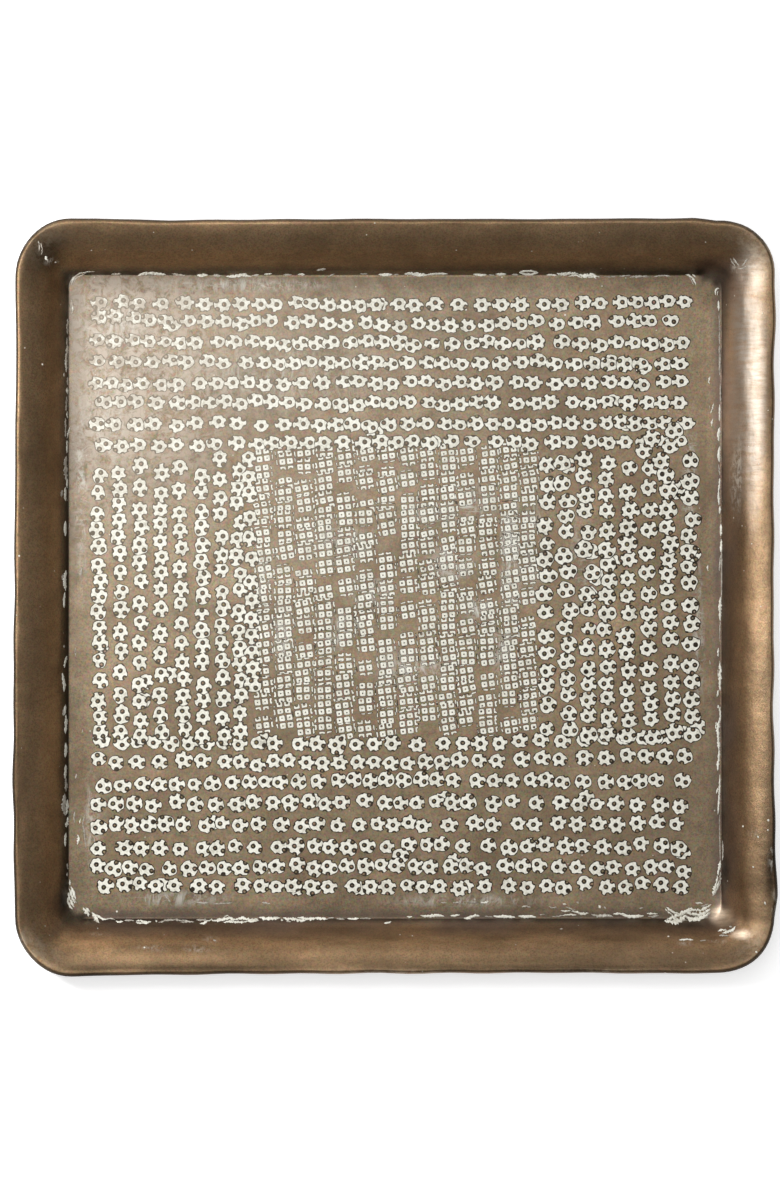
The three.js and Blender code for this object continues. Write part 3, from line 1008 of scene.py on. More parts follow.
rings = []
for (d, z), zs in zip(SECTION, z_soft):
    t = (d - d_in) / (RIM_W - d_in)
    if d <= 0:
        q = (d - d_in) / (0 - d_in)
        hx, hy, r = FX + q * (CREASE_X - FX), FY + q * (CREASE_Y - FY), 2.0 + q * 5.0
    else:
        q = d / RIM_W
        hx, hy, r = CREASE_X + q * (OUT_X - CREASE_X), CREASE_Y + q * (OUT_Y - CREASE_Y), 7.0 + q * 23.0
    p, nrm = plan(hx, hy, r)
    wgt = float(smoothstep(4, 27, d))
    wall = float(smoothstep(1.0, 8.0, d))
    shift = bulge * wgt + wall * waves(along, int(100 + d * 2) // 8, 6, 70, 0.16)
    p = p + nrm * shift[:, None]
    hgt = z * (1 - softness) + zs * softness
    if d > 1:
        hgt = hgt + wall * waves(along, 7, 5, 160, 0.22)
    if d <= d_in + 0.01:
        hgt = np.full(NR, FLOOR_Z)
        p = field_ring
    rings.append(np.column_stack([p, np.broadcast_to(hgt, (NR,))]))
upper = np.array(rings)                       # (sections, NR, 3)
# Dents beaten into two corners of the wall.
for cx, cy, rad, dep in ((182.5, 180.0, 7.5, 1.3), (-181.0, 178.0, 8.5, 0.7), (183, -183, 9, 0.7), (-183, -182, 9, 0.5)):
    r2 = ((upper[:, :, 0] - cx) ** 2 + (upper[:, :, 1] - cy) ** 2) / rad ** 2
    upper[:, :, 2] -= dep * np.exp(-r2 * 1.6)
# Lower face: each point moved by the sheet's thickness along the section's normal.
under = []
S = len(SECTION)
for i in range(S):
    a, b = upper[max(0, i - 1)], upper[min(S - 1, i + 1)]
    around = np.roll(upper[i], -1, 0) - np.roll(upper[i], 1, 0)
    nrm = np.cross(around, b - a)
    nrm /= np.linalg.norm(nrm, axis=1)[:, None]
    under.append(upper[i] + nrm * SHEET)
under = np.array(under)
if under[20, 0, 2] > upper[20, 0, 2]:
    under = 2 * upper - under
# the underside of the floor is flat on the table
under_rings = []
for i in range(S - 1, -1, -1):
    if sec[i, 0] > 1.7:
        r = under[i].copy()
        r[:, 2] = np.maximum(r[:, 2], 0.25)
        under_rings.append(r)
p, nrm = plan(CREASE_X + 1.4, CREASE_Y + 1.4, 8.2)
under_rings.append(np.column_stack([p, np.full(NR, 0.12)]))
p, nrm = plan(CREASE_X + 0.7, CREASE_Y + 0.7, 7.6)
under_rings.append(np.column_stack([p, np.zeros(NR)]))
p, nrm = plan(CREASE_X - 1.0, CREASE_Y - 1.0, 6.0)
under_rings.append(np.column_stack([p, np.zeros(NR)]))
under_rings.append(np.column_stack([field_ring, np.zeros(NR)]))
# Rolled lip end: a small rounding between upper and lower faces.
lip_mid = (upper[-1] + under_rings[0]) / 2
lip_mid[:, 2] -= 0.45
all_rings = list(upper) + [lip_mid] + under_rings
RV = np.concatenate(all_rings)
rim_faces = []
K = len(all_rings)
for k in range(K):
    a0, b0 = k * NR, ((k + 1) % K) * NR
    for i in range(NR):
        j = (i + 1) % NR
        rim_faces.append((a0 + i, b0 + i, b0 + j, a0 + j))
nv = len(RV)
rim_sharp = set()
for i in range(NR):
    j = (i + 1) % NR
    rim_sharp.add(edge_key(i, j, nv))
    rim_sharp.add(edge_key((K - 1) * NR + i, (K - 1) * NR + j, nv))
rim = new_object("tray_rim", RV, rim_faces, [mat_brass], None, True, rim_sharp)


def laid(places, soft=1.0, add=False):
    """Strength at each point of the rim of some oval places: [x, y, radii, strength]."""
    total = np.zeros(nv)
    for x, y, rx, ry, w in places:
        v = w * smoothstep(1.0, 1.0 - soft, np.hypot((RV[:, 0] - x) / rx, (RV[:, 1] - y) / ry))
        total = total + v if add else np.maximum(total, v)
    return total


# The turned lip: painted shade darkens its colour, and it is made rougher.
turn = np.concatenate([np.full(NR, float(smoothstep(26.4, 27.3, d))) for d in sec[:, 0]] + [np.ones(NR)] * (K - S))
# Painted shade along the foot of the wall, where it meets the floor.
foot = np.concatenate([0.42 * float(smoothstep(-0.5, 0.3, d) * smoothstep(2.4, 0.8, d)) * (1 - softness) for d in sec[:, 0]] + [np.zeros(NR)] * (K - S))
# Painted shade in places along the crease and in its corners: [x, y, radii, strength].
CREASE_SHADE = ((163.5, 174.0, 6, 3.6, 1.0), (172.0, 168.6, 4.2, 4.6, 1.0), (-175.0, 171.5, 6, 6.5, 0.9), (-177.5, -163.0, 4.0, 11, 1.1), (-168.0, -171.5, 9, 4.0, 0.9),
        (177.0, -146.5, 3.6, 12, 1.0), (158.0, -176.0, 13, 3.0, 0.8), (-110.0, -176.2, 60, 2.6, 0.5), (177.5, 150.0, 3.0, 22, 0.6), (176.8, 0.0, 2.6, 150, 0.5))
# Painted light and shade on the rim's brass, partly uneven tone of the metal: [x, y, radii, strength].
PAINTED_LIGHT_TONE = (
    (189, 110, 9, 78, 0.30), (186, 145, 9, 50, 0.45), (180, 110, 7, 78, 1.05), (179.5, -25, 4.5, 60, -0.40), (199.5, 115, 5, 105, -0.50),
    (202, -110, 8, 80, -0.40), (185.5, 40, 4.0, 60, -0.20), (171, 60, 7, 150, 0.25), (179, -163, 10, 10, 0.9),
    (-187, -95, 13, 70, 0.50), (-205, -90, 12, 90, 0.25), (-203.2, -90, 3.4, 160, -0.65), (198.5, -150, 6, 45, -0.3), (-171, 160, 5, 12, -0.4), (-165, -203, 25, 4, -0.6), (-188, 184, 19, 19, -0.62), (-182, 140, 10, 60, -0.38),
    (-173.5, 0, 6, 190, -0.30), (0, 199, 175, 7.5, 0.10), (60, 200.6, 150, 3.0, -0.22), (-120, 199, 80, 8, 0.20), (60, 186, 90, 9, -0.15),
    (80, 177.5, 75, 4.5, -0.35), (0, 173.3, 160, 2.2, 1.9), (188, -186, 22, 22, -0.50),
    (-20, -175.0, 165, 3.6, 1.1), (60, -175.0, 110, 3.0, 0.25), (10, -184, 150, 5.0, -0.22), (60, -187.5, 150, 4.0, -0.18), (-120, -187.5, 50, 3.5, -0.30),
    (-20, -192.3, 160, 4.0, 0.30), (-125, -193.6, 60, 4.0, 0.65), (60, -192, 120, 12, -0.10), (-100, -199.0, 95, 3.4, -0.72), (-165, -199, 30, 4, -0.45), (40, -199.0, 90, 3.0, -0.62), (202, -150, 5, 45, -0.5), (185, 160, 9, 14, 0.4), (120, -198.8, 75, 3.4, -0.55), (125, -184, 60, 4, -0.28),
)
SCUFF = (
    (-185.5, 180.0, 4.0, 3.2, 0.9), (-189.5, 188.0, 2.0, 8.0, 0.2), (-181, 179.5, 1.6, 1.4, 1.0), (182.0, 177.5, 3.0, 5.0, 0.9),
    (188.5, 177.0, 3.5, 3.5, 0.4), (184.0, 66.0, 2.6, 30.0, 0.85), (181.0, 62.0, 1.6, 26.0, 0.7), (188.0, -182.0, 3.0, 2.6, 0.4),
    (189.2, -179.5, 6.0, 2.0, 0.1), (155.5, -185.0, 5.5, 1.3, 1.0), (172.0, -184.5, 9.0, 1.3, 0.45), (-158.0, -181.0, 8.0, 1.6, 0.35),
    (-97.5, -183.5, 2.5, 2.5, 0.9), (203.0, -165, 1.6, 12, 0.7), (201.5, -140, 1.6, 9, 0.8), (193, -126, 5.0, 2.0, 0.5),
    (-130, -188.0, 12.0, 2.0, 0.4), (-106, -189.0, 9.0, 2.5, 0.5), (194, -199, 5, 2.5, 0.7), (-199, -184, 2.5, 7, 0.5),
)
WORN = (
    (-187, 187, 24, 24, 0.3), (190, 185, 22, 22, 0.5), (192, -188, 20, 20, 0.2), (-190, -188, 20, 20, 0.5), (0, -202, 60, 3.5, 0.6),
    (110, -201, 40, 2.5, 0.4),
)
marks = {
    "turned": turn * (1 - 0.8 * np.clip(laid([(203, 60, 9, 190, 1.6), (60, -203.5, 235, 3.2, 1.6)], 0.5), 0, 1)),
    "grime": np.clip(np.maximum(foot, laid(CREASE_SHADE)), 0, 1),
    "lift": laid(PAINTED_LIGHT_TONE, 1.0, True),
    "scuffed": 0.34 * laid(SCUFF, 0.8),
    # Paler rubbed metal on the right wall, partly a painted highlight.
    "rubbed": laid([(191.8, 108, 9.0, 90, 1.0), (188, 140, 14, 52, 1.0), (184, 105, 11, 78, 0.7), (190, 172, 12, 24, 0.8)], 0.8),
    "worn": laid(WORN) * smoothstep(20.5, 24.0, RV[:, 2]),
    # Painted glint in the front right corner.
    "bright": laid([(175.3, -171.3, 8.5, 7.5, 1.0), (185.5, -181.0, 7.0, 3.5, 0.7)]),
}
for k, v in marks.items():
    rim.data.attributes.new(k, "FLOAT", "POINT").data.foreach_set("value", v)
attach(rim, "root")
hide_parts("tray_body")

# ------------------------------------------------------------------ filler in the crease
# Remains of filler lying in the crease, on the floor's margin and on the walls. Each is a thin
# crust laid over the surface: [line on the plan, widest, 0 white or 1 rubbed grey, raggedness]
STROKES = [
    ([[-174.9,166.4],[-173.8,169.4],[-171.8,171.7],[-168.6,173.4],[-164.8,174.2],[-160.8,174.3]],0.48,0,0.5),
    ([[-173.7,167.2],[-172.3,169.9],[-170.2,171.4],[-167.0,172.6]],0.48,1,0.3), ([[-152.0,172.9],[-146.6,173.2]],0.86,1,0.6),
    ([[-138.1,172.1],[-134.9,173.2],[-130.0,173.4],[-122.6,172.7]],1.39,0,0.35), ([[-119.6,173.2],[-116.1,172.6],[-112.4,172.4]],1.02,1,0.4),
    ([[-106.2,172.5],[-103.3,172.2],[-100.1,172.6]],1.71,0,0.3), ([[-97.7,172.3],[-92.6,172.1]],1.18,1,0.5),
    ([[-90.4,171.8],[-85.1,171.9],[-81.3,172.6],[-77.0,171.6]],1.61,0,0.3), ([[-77.0,171.9],[-72.8,172.8]],0.86,1,0.4),
    ([[-70.1,172.9],[-65.8,173.2]],0.75,0,0.3), ([[-59.9,172.6],[-55.1,172.7]],0.7,1,0.4), ([[-52.1,172.8],[-48.1,172.7]],1.07,0,0.3),
    ([[-42.0,174.9],[-36.9,175.7]],0.91,1,0.5), ([[-35.8,171.6],[-32.1,173.2]],0.59,1,0.8), ([[-18.7,173.1],[-14.4,173.0]],0.64,1,0.5),
    ([[-8.8,172.8],[-4.8,172.6],[-1.3,172.9]],1.39,0,0.25), ([[-0.5,172.8],[2.2,172.8]],0.64,1,0.4),
    ([[5.1,173.0],[8.6,173.4],[12.9,172.6],[17.7,172.6]],1.71,0,0.3), ([[17.2,172.7],[23.1,173.2],[28.4,173.1]],1.02,0,0.2),
    ([[42.1,173.0],[45.6,172.5],[49.3,172.6]],1.12,0,0.2), ([[50.4,172.6],[53.6,172.4]],0.54,1,0.4),
    ([[54.1,173.0],[56.8,172.8],[59.8,173.0]],1.23,0,0.3), ([[62.7,172.8],[66.4,172.6]],0.75,1,0.4),
    ([[66.7,173.9],[69.1,174.5],[72.9,174.6],[76.9,173.8]],0.96,0,0.25), ([[66.7,173.8],[69.7,172.9],[73.4,172.8],[76.9,173.7]],1.02,0,0.25),
    ([[81.4,172.6],[86.8,172.5]],0.86,0,0.5), ([[86.8,173.2],[90.5,172.8],[94.8,173.4],[98.6,173.0]],1.5,0,0.5),
    ([[93.2,171.9],[97.5,172.5],[100.7,170.9]],0.7,0,0.4), ([[98.6,172.8],[102.3,171.9],[106.1,172.6],[109.8,171.5]],1.61,0,0.5),
    ([[103.4,171.1],[106.6,171.7],[108.2,170.4]],0.59,0,0.5), ([[112.0,171.7],[116.2,171.6],[119.4,172.1]],0.7,1,0.5),
    ([[120.5,171.9],[126.4,172.3]],0.75,1,0.5), ([[125.9,171.4],[131.2,171.9],[136.6,171.5]],1.02,1,0.7),
    ([[138.7,171.7],[144.1,172.3],[148.4,171.9]],0.59,1,0.5), ([[155.9,172.8],[158.0,172.3],[160.4,170.4],[161.5,167.2]],0.8,0,0.6),
    ([[157.5,171.9],[159.3,169.9],[160.4,167.2]],0.54,1,0.6), ([[159.6,172.9],[161.5,171.3]],0.59,0,0.5),
    ([[172.0,161.8],[172.0,164.0],[173.0,165.7],[174.1,165.1]],0.75,0,0.5), ([[172.9,161.6],[173.3,163.9]],0.7,0,0.6),
    ([[173.6,158.9],[173.8,156.2],[173.7,153.3]],1.12,0,0.25), ([[174.0,152.5],[174.2,143.9],[174.1,135.3]],0.64,1,0.4),
    ([[174.1,134.8],[174.4,127.8],[174.2,118.7]],1.18,1,0.2), ([[174.6,114.4],[174.7,109.6],[174.6,104.3]],0.75,1,0.3),
    ([[174.2,103.2],[174.3,98.4],[174.1,94.1]],0.86,0,0.3), ([[174.2,90.9],[173.6,87.1],[173.8,83.4]],1.55,0,0.35),
    ([[174.3,80.7],[173.7,76.4],[174.1,72.1]],1.45,0,0.25), ([[173.8,71.1],[174.2,65.2]],0.7,1,0.5),
    ([[174.3,63.6],[174.1,59.3],[173.5,56.1]],1.07,0,0.4), ([[173.6,57.2],[173.8,52.9],[174.0,49.1]],1.02,0,0.4),
    ([[174.4,48.6],[174.2,44.3]],1.12,0,0.3), ([[174.9,39.0],[174.8,35.7],[174.9,32.5]],1.07,0,0.3),
    ([[175.1,30.9],[175.0,27.2],[174.7,24.0]],1.07,0,0.3), ([[174.8,22.4],[174.4,18.1],[174.0,13.8]],0.96,1,0.3),
    ([[175.1,30.4],[175.3,19.7],[175.2,-1.7]],0.48,1,0.2), ([[174.7,-0.1],[174.4,-5.0],[174.5,-13.0]],1.45,0,0.35),
    ([[174.5,-13.0],[174.3,-17.8],[174.2,-24.2]],0.48,1,0.4), ([[173.5,-27.4],[173.4,-32.3]],0.86,0,0.6),
    ([[174.2,-34.4],[174.6,-40.3],[174.3,-45.6],[174.5,-50.5]],1.18,0,0.6), ([[173.3,-39.2],[173.6,-43.5]],0.59,0,0.6),
    ([[173.6,-49.9],[173.2,-52.1],[172.7,-53.7]],0.8,0,0.5), ([[173.2,-58.0],[174.0,-60.1]],0.96,0,0.6),
    ([[174.4,-59.0],[174.6,-63.3],[174.4,-67.1]],0.91,0,0.4), ([[174.1,-65.5],[173.3,-71.3],[173.6,-77.2],[174.0,-82.6]],1.61,0,0.55),
    ([[172.5,-67.1],[172.0,-69.7],[172.8,-71.3]],0.64,0,0.6), ([[174.0,-82.1],[173.8,-86.3],[173.3,-93.3]],1.45,0,0.5),
    ([[174.3,-95.4],[174.2,-103.5],[173.8,-110.4],[173.3,-116.9]],0.91,0,0.3), ([[173.4,-102.4],[172.8,-104.5],[172.5,-105.6]],0.8,0,0.4),
    ([[174.1,-116.9],[174.2,-124.9],[174.6,-142.0]],0.48,1,0.3), ([[175.7,-130.8],[175.9,-135.6],[175.7,-141.5]],0.54,1,0.3),
    ([[174.5,-141.5],[174.5,-144.2],[173.5,-146.8],[173.5,-149.5]],1.39,0,0.5), ([[173.0,-149.5],[173.2,-151.7],[172.3,-153.8]],1.18,0,0.6),
    ([[174.8,-147.4],[174.4,-153.8],[172.2,-158.6],[170.6,-160.8]],0.86,1,0.5),
    ([[172.6,-153.3],[171.9,-155.9],[171.0,-158.6],[170.6,-160.5]],2.25,0,0.45), ([[173.7,-152.2],[173.1,-155.9],[172.0,-158.6]],0.75,0,0.5),
    ([[-166.5,174.1],[-169.7,173.1],[-172.6,170.3],[-173.8,166.9]],0.43,0,0.6), ([[-165.4,173.5],[-170.2,171.7],[-172.8,167.7]],0.37,1,0.5),
    ([[-173.3,159.4],[-173.7,155.1],[-173.3,151.4]],1.61,1,0.6), ([[-173.0,157.3],[-172.7,154.1],[-173.1,151.9]],0.91,0,0.6),
    ([[-175.3,149.2],[-175.7,145.5],[-175.5,140.7]],0.91,1,0.5), ([[-175.7,139.1],[-175.9,134.8]],0.7,1,0.5),
    ([[-175.5,135.3],[-175.9,131.0],[-176.3,125.7],[-176.2,120.3]],1.12,0,0.5), ([[-177.3,120.1],[-177.4,117.9]],1.07,1,0.4),
    ([[-175.6,117.7],[-175.5,113.4]],0.64,1,0.5), ([[-175.7,112.3],[-175.6,108.6]],0.96,0,0.5),
    ([[-175.8,107.5],[-176.2,103.2],[-176.3,99.5]],0.86,1,0.6), ([[-175.7,99.5],[-175.5,95.7]],0.8,0,0.6),
    ([[-174.1,91.4],[-175.2,88.2],[-175.8,86.1]],0.59,0,0.5), ([[-174.3,89.3],[-175.3,86.6],[-175.9,84.5]],0.54,1,0.5),
    ([[-176.6,95.7],[-176.5,90.3],[-176.7,85.5]],0.86,1,0.6), ([[-175.8,83.9],[-175.7,80.2],[-175.9,77.0]],0.8,0,0.5),
    ([[-176.1,75.4],[-176.6,71.6],[-176.5,66.8],[-176.1,62.0]],1.82,1,0.5), ([[-176.3,71.1],[-176.6,67.9],[-176.4,64.6]],0.96,0,0.5),
    ([[-175.8,63.6],[-175.7,58.2]],0.64,0,0.5), ([[-176.7,58.8],[-176.8,55.0],[-176.5,51.3]],1.18,0,0.4), ([[-178.2,57.2],[-178.7,53.4]],1.28,1,0.5),
    ([[-176.6,40.6],[-176.8,36.3],[-176.6,32.5]],1.45,0,0.2), ([[-174.7,39.5],[-174.6,35.7]],0.54,1,0.6),
    ([[-176.3,14.3],[-177.1,10.0],[-176.8,6.3],[-176.4,3.1]],1.5,0,0.4), ([[-178.0,12.2],[-178.4,9.0]],0.64,1,0.5),
    ([[-176.9,2.5],[-177.3,-1.7],[-177.3,-6.0]],1.07,0,0.3), ([[-177.2,-25.8],[-177.5,-27.4]],0.86,1,0.4),
    ([[-175.8,-31.7],[-176.8,-34.9],[-177.1,-38.1]],1.02,0,0.4), ([[-178.2,-40.8],[-177.6,-44.6],[-177.1,-48.3],[-177.4,-51.0]],1.34,0,0.4),
    ([[-176.6,-58.0],[-176.8,-61.2],[-177.5,-63.8]],1.18,0,0.4), ([[-177.5,-60.1],[-177.9,-63.8]],0.86,1,0.4),
    ([[-176.4,-63.3],[-176.1,-67.1],[-176.6,-73.5]],1.23,0,0.4), ([[-176.4,-78.3],[-176.4,-82.6],[-176.7,-86.3]],1.34,0,0.3),
    ([[-176.4,-90.1],[-176.5,-93.8],[-176.8,-97.6]],1.28,0,0.3), ([[-176.5,-97.0],[-176.1,-100.8],[-176.3,-104.5]],1.28,1,0.4),
    ([[-176.8,-105.6],[-177.5,-109.9],[-177.5,-114.7],[-176.6,-117.4]],2.03,1,0.5), ([[-175.5,-108.8],[-175.7,-112.6],[-176.2,-116.9]],1.28,0,0.5),
    ([[-175.2,-117.9],[-175.8,-121.1],[-176.2,-123.8]],1.23,0,0.5), ([[-176.4,-126.5],[-176.7,-130.2],[-176.7,-134.0]],1.18,0,0.3),
    ([[-175.7,-143.1],[-175.3,-146.3]],0.86,1,0.5), ([[-175.6,-147.9],[-175.7,-150.0]],0.59,1,0.5), ([[-174.5,-151.7],[-174.3,-154.9]],0.86,0,0.6),
    ([[-173.7,-155.4],[-172.6,-158.1],[-171.7,-160.8],[-171.1,-162.4]],1.28,0,0.5),
    ([[-174.7,-156.5],[-173.7,-159.7],[-172.5,-162.4],[-171.5,-164.5]],1.23,0,0.6),
    ([[-175.2,-158.6],[-174.5,-161.8],[-173.1,-164.5],[-172.1,-166.6]],1.18,0,0.6),
    ([[-175.6,-161.3],[-175.3,-163.4],[-174.2,-166.1],[-173.0,-167.7]],1.02,0,0.5), ([[-173.1,-161.3],[-172.0,-163.2],[-170.7,-164.2]],0.8,1,0.5),
    ([[-167.4,-166.9],[-166.1,-168.2],[-164.8,-170.1],[-164.1,-171.5]],2.25,0,0.45), ([[-165.8,-166.8],[-164.5,-167.9],[-163.8,-169.3]],1.07,0,0.5),
    ([[-162.6,-169.2],[-161.4,-170.6],[-160.6,-172.5],[-158.6,-174.6]],1.82,0,0.5),
    ([[-160.8,-170.2],[-159.2,-171.7],[-157.1,-172.6],[-154.7,-173.2]],1.18,0,0.5), ([[-162.0,-171.8],[-160.2,-173.7],[-158.2,-174.9]],0.75,1,0.5),
    ([[-155.7,-173.1],[-152.5,-172.4],[-149.9,-173.2]],0.54,1,0.5), ([[-149.6,-173.9],[-147.7,-174.4],[-145.6,-174.1]],1.07,0,0.4),
    ([[-145.0,-173.6],[-142.4,-173.4],[-139.7,-173.8]],0.75,1,0.5), ([[-138.9,-173.8],[-135.9,-173.6],[-132.7,-174.6],[-130.6,-174.2]],0.91,0,0.6),
    ([[-138.9,-174.6],[-135.9,-175.1],[-131.7,-174.9]],0.8,0,0.6), ([[-128.4,-173.7],[-127.4,-174.2]],0.86,0,0.4),
    ([[-126.8,-174.7],[-122.6,-173.5],[-117.2,-173.2],[-114.0,-173.8]],0.91,1,0.6), ([[-115.1,-174.5],[-110.8,-174.2],[-107.6,-174.4]],0.75,1,0.6),
    ([[-114.5,-173.4],[-110.8,-173.7]],0.54,1,0.6), ([[-106.5,-173.3],[-103.8,-173.2],[-100.1,-173.5]],0.91,1,0.6),
    ([[-104.6,-175.3],[-102.2,-174.9],[-100.1,-173.7],[-97.9,-172.9]],1.07,0,0.6),
    ([[-98.5,-173.2],[-96.3,-173.9],[-92.6,-173.0],[-88.8,-172.5],[-84.0,-173.2]],1.5,0,0.6),
    ([[-91.5,-171.6],[-89.9,-170.8],[-88.3,-172.0]],0.54,0,0.6),
    ([[-91.8,-174.7],[-88.8,-174.0],[-85.1,-174.4],[-81.3,-174.7],[-78.7,-173.8]],1.18,0,0.55),
    ([[-85.1,-172.7],[-81.3,-172.3],[-77.6,-173.3],[-73.3,-172.9]],1.34,0,0.55), ([[-79.2,-174.0],[-76.0,-174.1],[-72.8,-173.5]],0.91,0,0.5),
    ([[-72.8,-172.0],[-69.0,-172.7],[-65.3,-172.6],[-61.5,-172.2]],1.66,0,0.45), ([[-61.2,-172.9],[-59.9,-173.5]],1.07,0,0.4),
    ([[-59.9,-172.1],[-58.0,-172.9],[-54.6,-172.7],[-50.8,-173.6],[-47.1,-173.3]],1.45,0,0.55),
    ([[-52.4,-172.2],[-49.2,-172.4],[-44.9,-172.9],[-41.2,-172.3],[-35.8,-172.9]],1.28,0,0.5), ([[-58.3,-173.9],[-55.6,-174.1]],0.64,1,0.5),
    ([[-35.8,-172.5],[-32.6,-172.1]],0.54,1,0.5), ([[-31.3,-172.7],[-26.7,-173.0]],0.75,1,0.5),
    ([[-25.4,-172.5],[-22.4,-172.9],[-19.2,-172.5]],1.12,0,0.3), ([[-18.7,-172.6],[-15.5,-172.4],[-12.3,-172.6]],0.59,1,0.5),
    ([[-5.8,-175.0],[-3.7,-174.8],[-1.8,-174.2]],0.91,0,0.3), ([[6.5,-171.5],[7.8,-171.8],[9.4,-171.5]],0.86,0,0.4),
    ([[13.7,-170.8],[15.6,-171.5],[18.8,-171.4],[22.5,-170.9],[26.6,-171.4]],1.45,0,0.35), ([[29.8,-171.1],[32.2,-171.1],[34.9,-170.6]],1.07,0,0.3),
    ([[37.0,-172.4],[39.1,-172.4],[41.3,-171.6],[43.4,-171.0],[45.6,-171.2]],1.39,0,0.4), ([[48.2,-171.5],[52.5,-171.7]],0.59,1,0.5),
    ([[52.8,-171.1],[55.2,-171.7],[59.5,-171.6],[64.6,-172.0]],1.55,0,0.35), ([[66.2,-171.2],[69.1,-171.7],[72.3,-171.5],[75.8,-171.9]],1.71,0,0.25),
    ([[77.7,-170.7],[80.4,-170.4]],0.64,1,0.6), ([[84.1,-171.4],[87.3,-171.7],[90.0,-170.9]],0.86,1,0.6),
    ([[89.5,-171.0],[93.7,-170.6],[97.5,-170.8]],0.75,0,0.5), ([[88.9,-168.4],[91.6,-168.7],[94.3,-168.4]],0.7,0,0.6),
    ([[94.8,-168.6],[97.5,-169.1],[100.2,-170.2],[103.9,-169.6]],1.23,0,0.6), ([[91.6,-166.4],[94.3,-167.3],[97.0,-168.2]],0.48,1,0.6),
    ([[105.3,-170.4],[108.7,-171.4],[113.0,-171.0],[117.3,-171.8]],1.34,1,0.5), ([[109.8,-171.7],[113.6,-171.0],[116.8,-171.4]],0.86,0,0.4),
    ([[117.0,-170.2],[120.5,-170.0],[124.3,-170.7]],1.12,0,0.4), ([[122.1,-170.9],[125.9,-171.6],[129.6,-171.5],[133.6,-171.1]],1.82,0,0.25),
    ([[135.2,-169.9],[138.2,-170.2],[140.9,-170.0]],0.96,0,0.7), ([[135.8,-171.4],[138.7,-171.6],[141.7,-171.1]],1.39,1,0.6),
    ([[109.3,-165.5],[110.3,-167.1]],1.07,0,0.5), ([[112.2,-166.2],[113.3,-167.4]],0.8,1,0.5), ([[97.5,-163.6],[98.6,-164.6]],0.86,1,0.6),
    ([[144.6,-173.7],[147.3,-174.1],[150.5,-174.4],[154.2,-172.7],[156.4,-170.7]],2.46,0,0.6),
    ([[145.7,-173.1],[149.4,-172.1],[153.2,-170.4],[156.9,-168.7],[160.1,-167.9]],1.93,0,0.7),
    ([[145.4,-166.3],[147.3,-168.0],[150.0,-169.5],[153.2,-170.3]],0.96,0,0.7), ([[144.9,-167.3],[146.8,-169.3],[149.2,-170.7]],0.64,0,0.6),
    ([[155.9,-171.6],[159.1,-173.0],[162.8,-173.0],[166.0,-171.6],[168.4,-169.5]],2.46,0,0.65),
    ([[155.9,-169.1],[159.6,-170.3],[163.4,-170.5],[166.6,-169.1],[169.2,-167.4]],1.93,0,0.75),
    ([[157.5,-166.9],[160.7,-168.0],[164.4,-168.2],[167.6,-166.6],[169.5,-164.9]],1.28,0,0.75),
    ([[161.2,-164.2],[163.4,-164.3],[165.2,-164.7]],1.18,0,0.6), ([[163.9,-165.9],[166.0,-166.1],[168.2,-164.7]],0.8,1,0.6),
    ([[165.5,-172.6],[167.6,-171.2],[169.5,-168.8]],1.28,1,0.6), ([[152.6,-174.0],[154.8,-173.3],[156.9,-173.5]],0.86,1,0.6),
    ([[169.1,118.2],[168.3,115.5],[168.9,113.9]],0.8,0,0.7), ([[171.1,103.7],[170.4,101.1],[169.3,98.4]],0.86,0,0.7),
    ([[170.7,95.7],[170.3,93.6],[169.8,91.4]],0.91,0,0.7), ([[168.7,102.7],[169.2,100.5]],0.59,1,0.7),
    ([[168.0,17.0],[167.6,14.9],[168.2,13.8]],0.75,0,0.7), ([[168.9,-33.9],[169.3,-36.5]],0.64,1,0.7),
    ([[-106.5,-163.9],[-102.7,-164.4],[-100.1,-164.2]],0.86,1,0.6), ([[-97.4,-164.8],[-92.6,-164.6],[-87.2,-164.2]],0.64,1,0.6),
    ([[-71.2,-164.0],[-69.0,-164.2],[-66.9,-164.7]],0.96,1,0.6), ([[24.7,-164.0],[27.9,-164.2]],0.75,1,0.6),
    ([[31.1,-164.2],[34.3,-164.0]],0.7,1,0.6), ([[38.6,-163.4],[41.8,-164.1],[44.5,-163.8]],1.02,1,0.7),
    ([[46.1,-163.9],[48.2,-164.2],[50.4,-163.4]],1.02,0,0.7), ([[68.0,-166.4],[70.7,-166.0],[72.9,-166.6]],0.8,1,0.7),
    ([[82.5,-166.1],[84.6,-167.1],[86.8,-166.4]],0.8,1,0.7), ([[90.0,-164.8],[92.1,-165.0]],0.86,0,0.7),
    ([[131.2,-167.2],[133.4,-166.8]],0.86,1,0.6), ([[-171.5,-115.2],[-172.3,-118.5],[-171.7,-121.1]],0.75,1,0.6),
    ([[-166.5,-116.9],[-167.3,-122.2],[-166.2,-129.2],[-165.8,-134.5]],0.7,1,0.6), ([[-168.5,-119.0],[-169.1,-121.7]],0.7,0,0.6),
    ([[-169.9,-127.6],[-169.3,-130.2],[-170.4,-132.9]],1.28,0,0.6), ([[-170.7,-94.9],[-171.4,-97.6]],0.75,1,0.6),
    ([[-167.2,-70.8],[-167.7,-72.9]],0.54,1,0.6), ([[-171.0,-27.4],[-171.8,-29.6],[-171.2,-32.3]],0.96,1,0.7),
    ([[-168.1,15.9],[-168.4,11.1]],1.07,1,0.6), ([[-187.2,182.4],[-186.5,180.8],[-185.6,179.4]],1.39,0,0.6),
    ([[-190.9,190.5],[-190.2,187.8],[-190.4,185.1]],0.54,1,0.6), ([[-189.5,189.4],[-188.7,186.2],[-189.2,183.0]],0.48,1,0.6),
    ([[-182.2,179.3],[-181.3,178.9]],0.91,0,0.4), ([[179.6,181.2],[181.0,178.7],[183.2,176.2]],0.54,1,0.6),
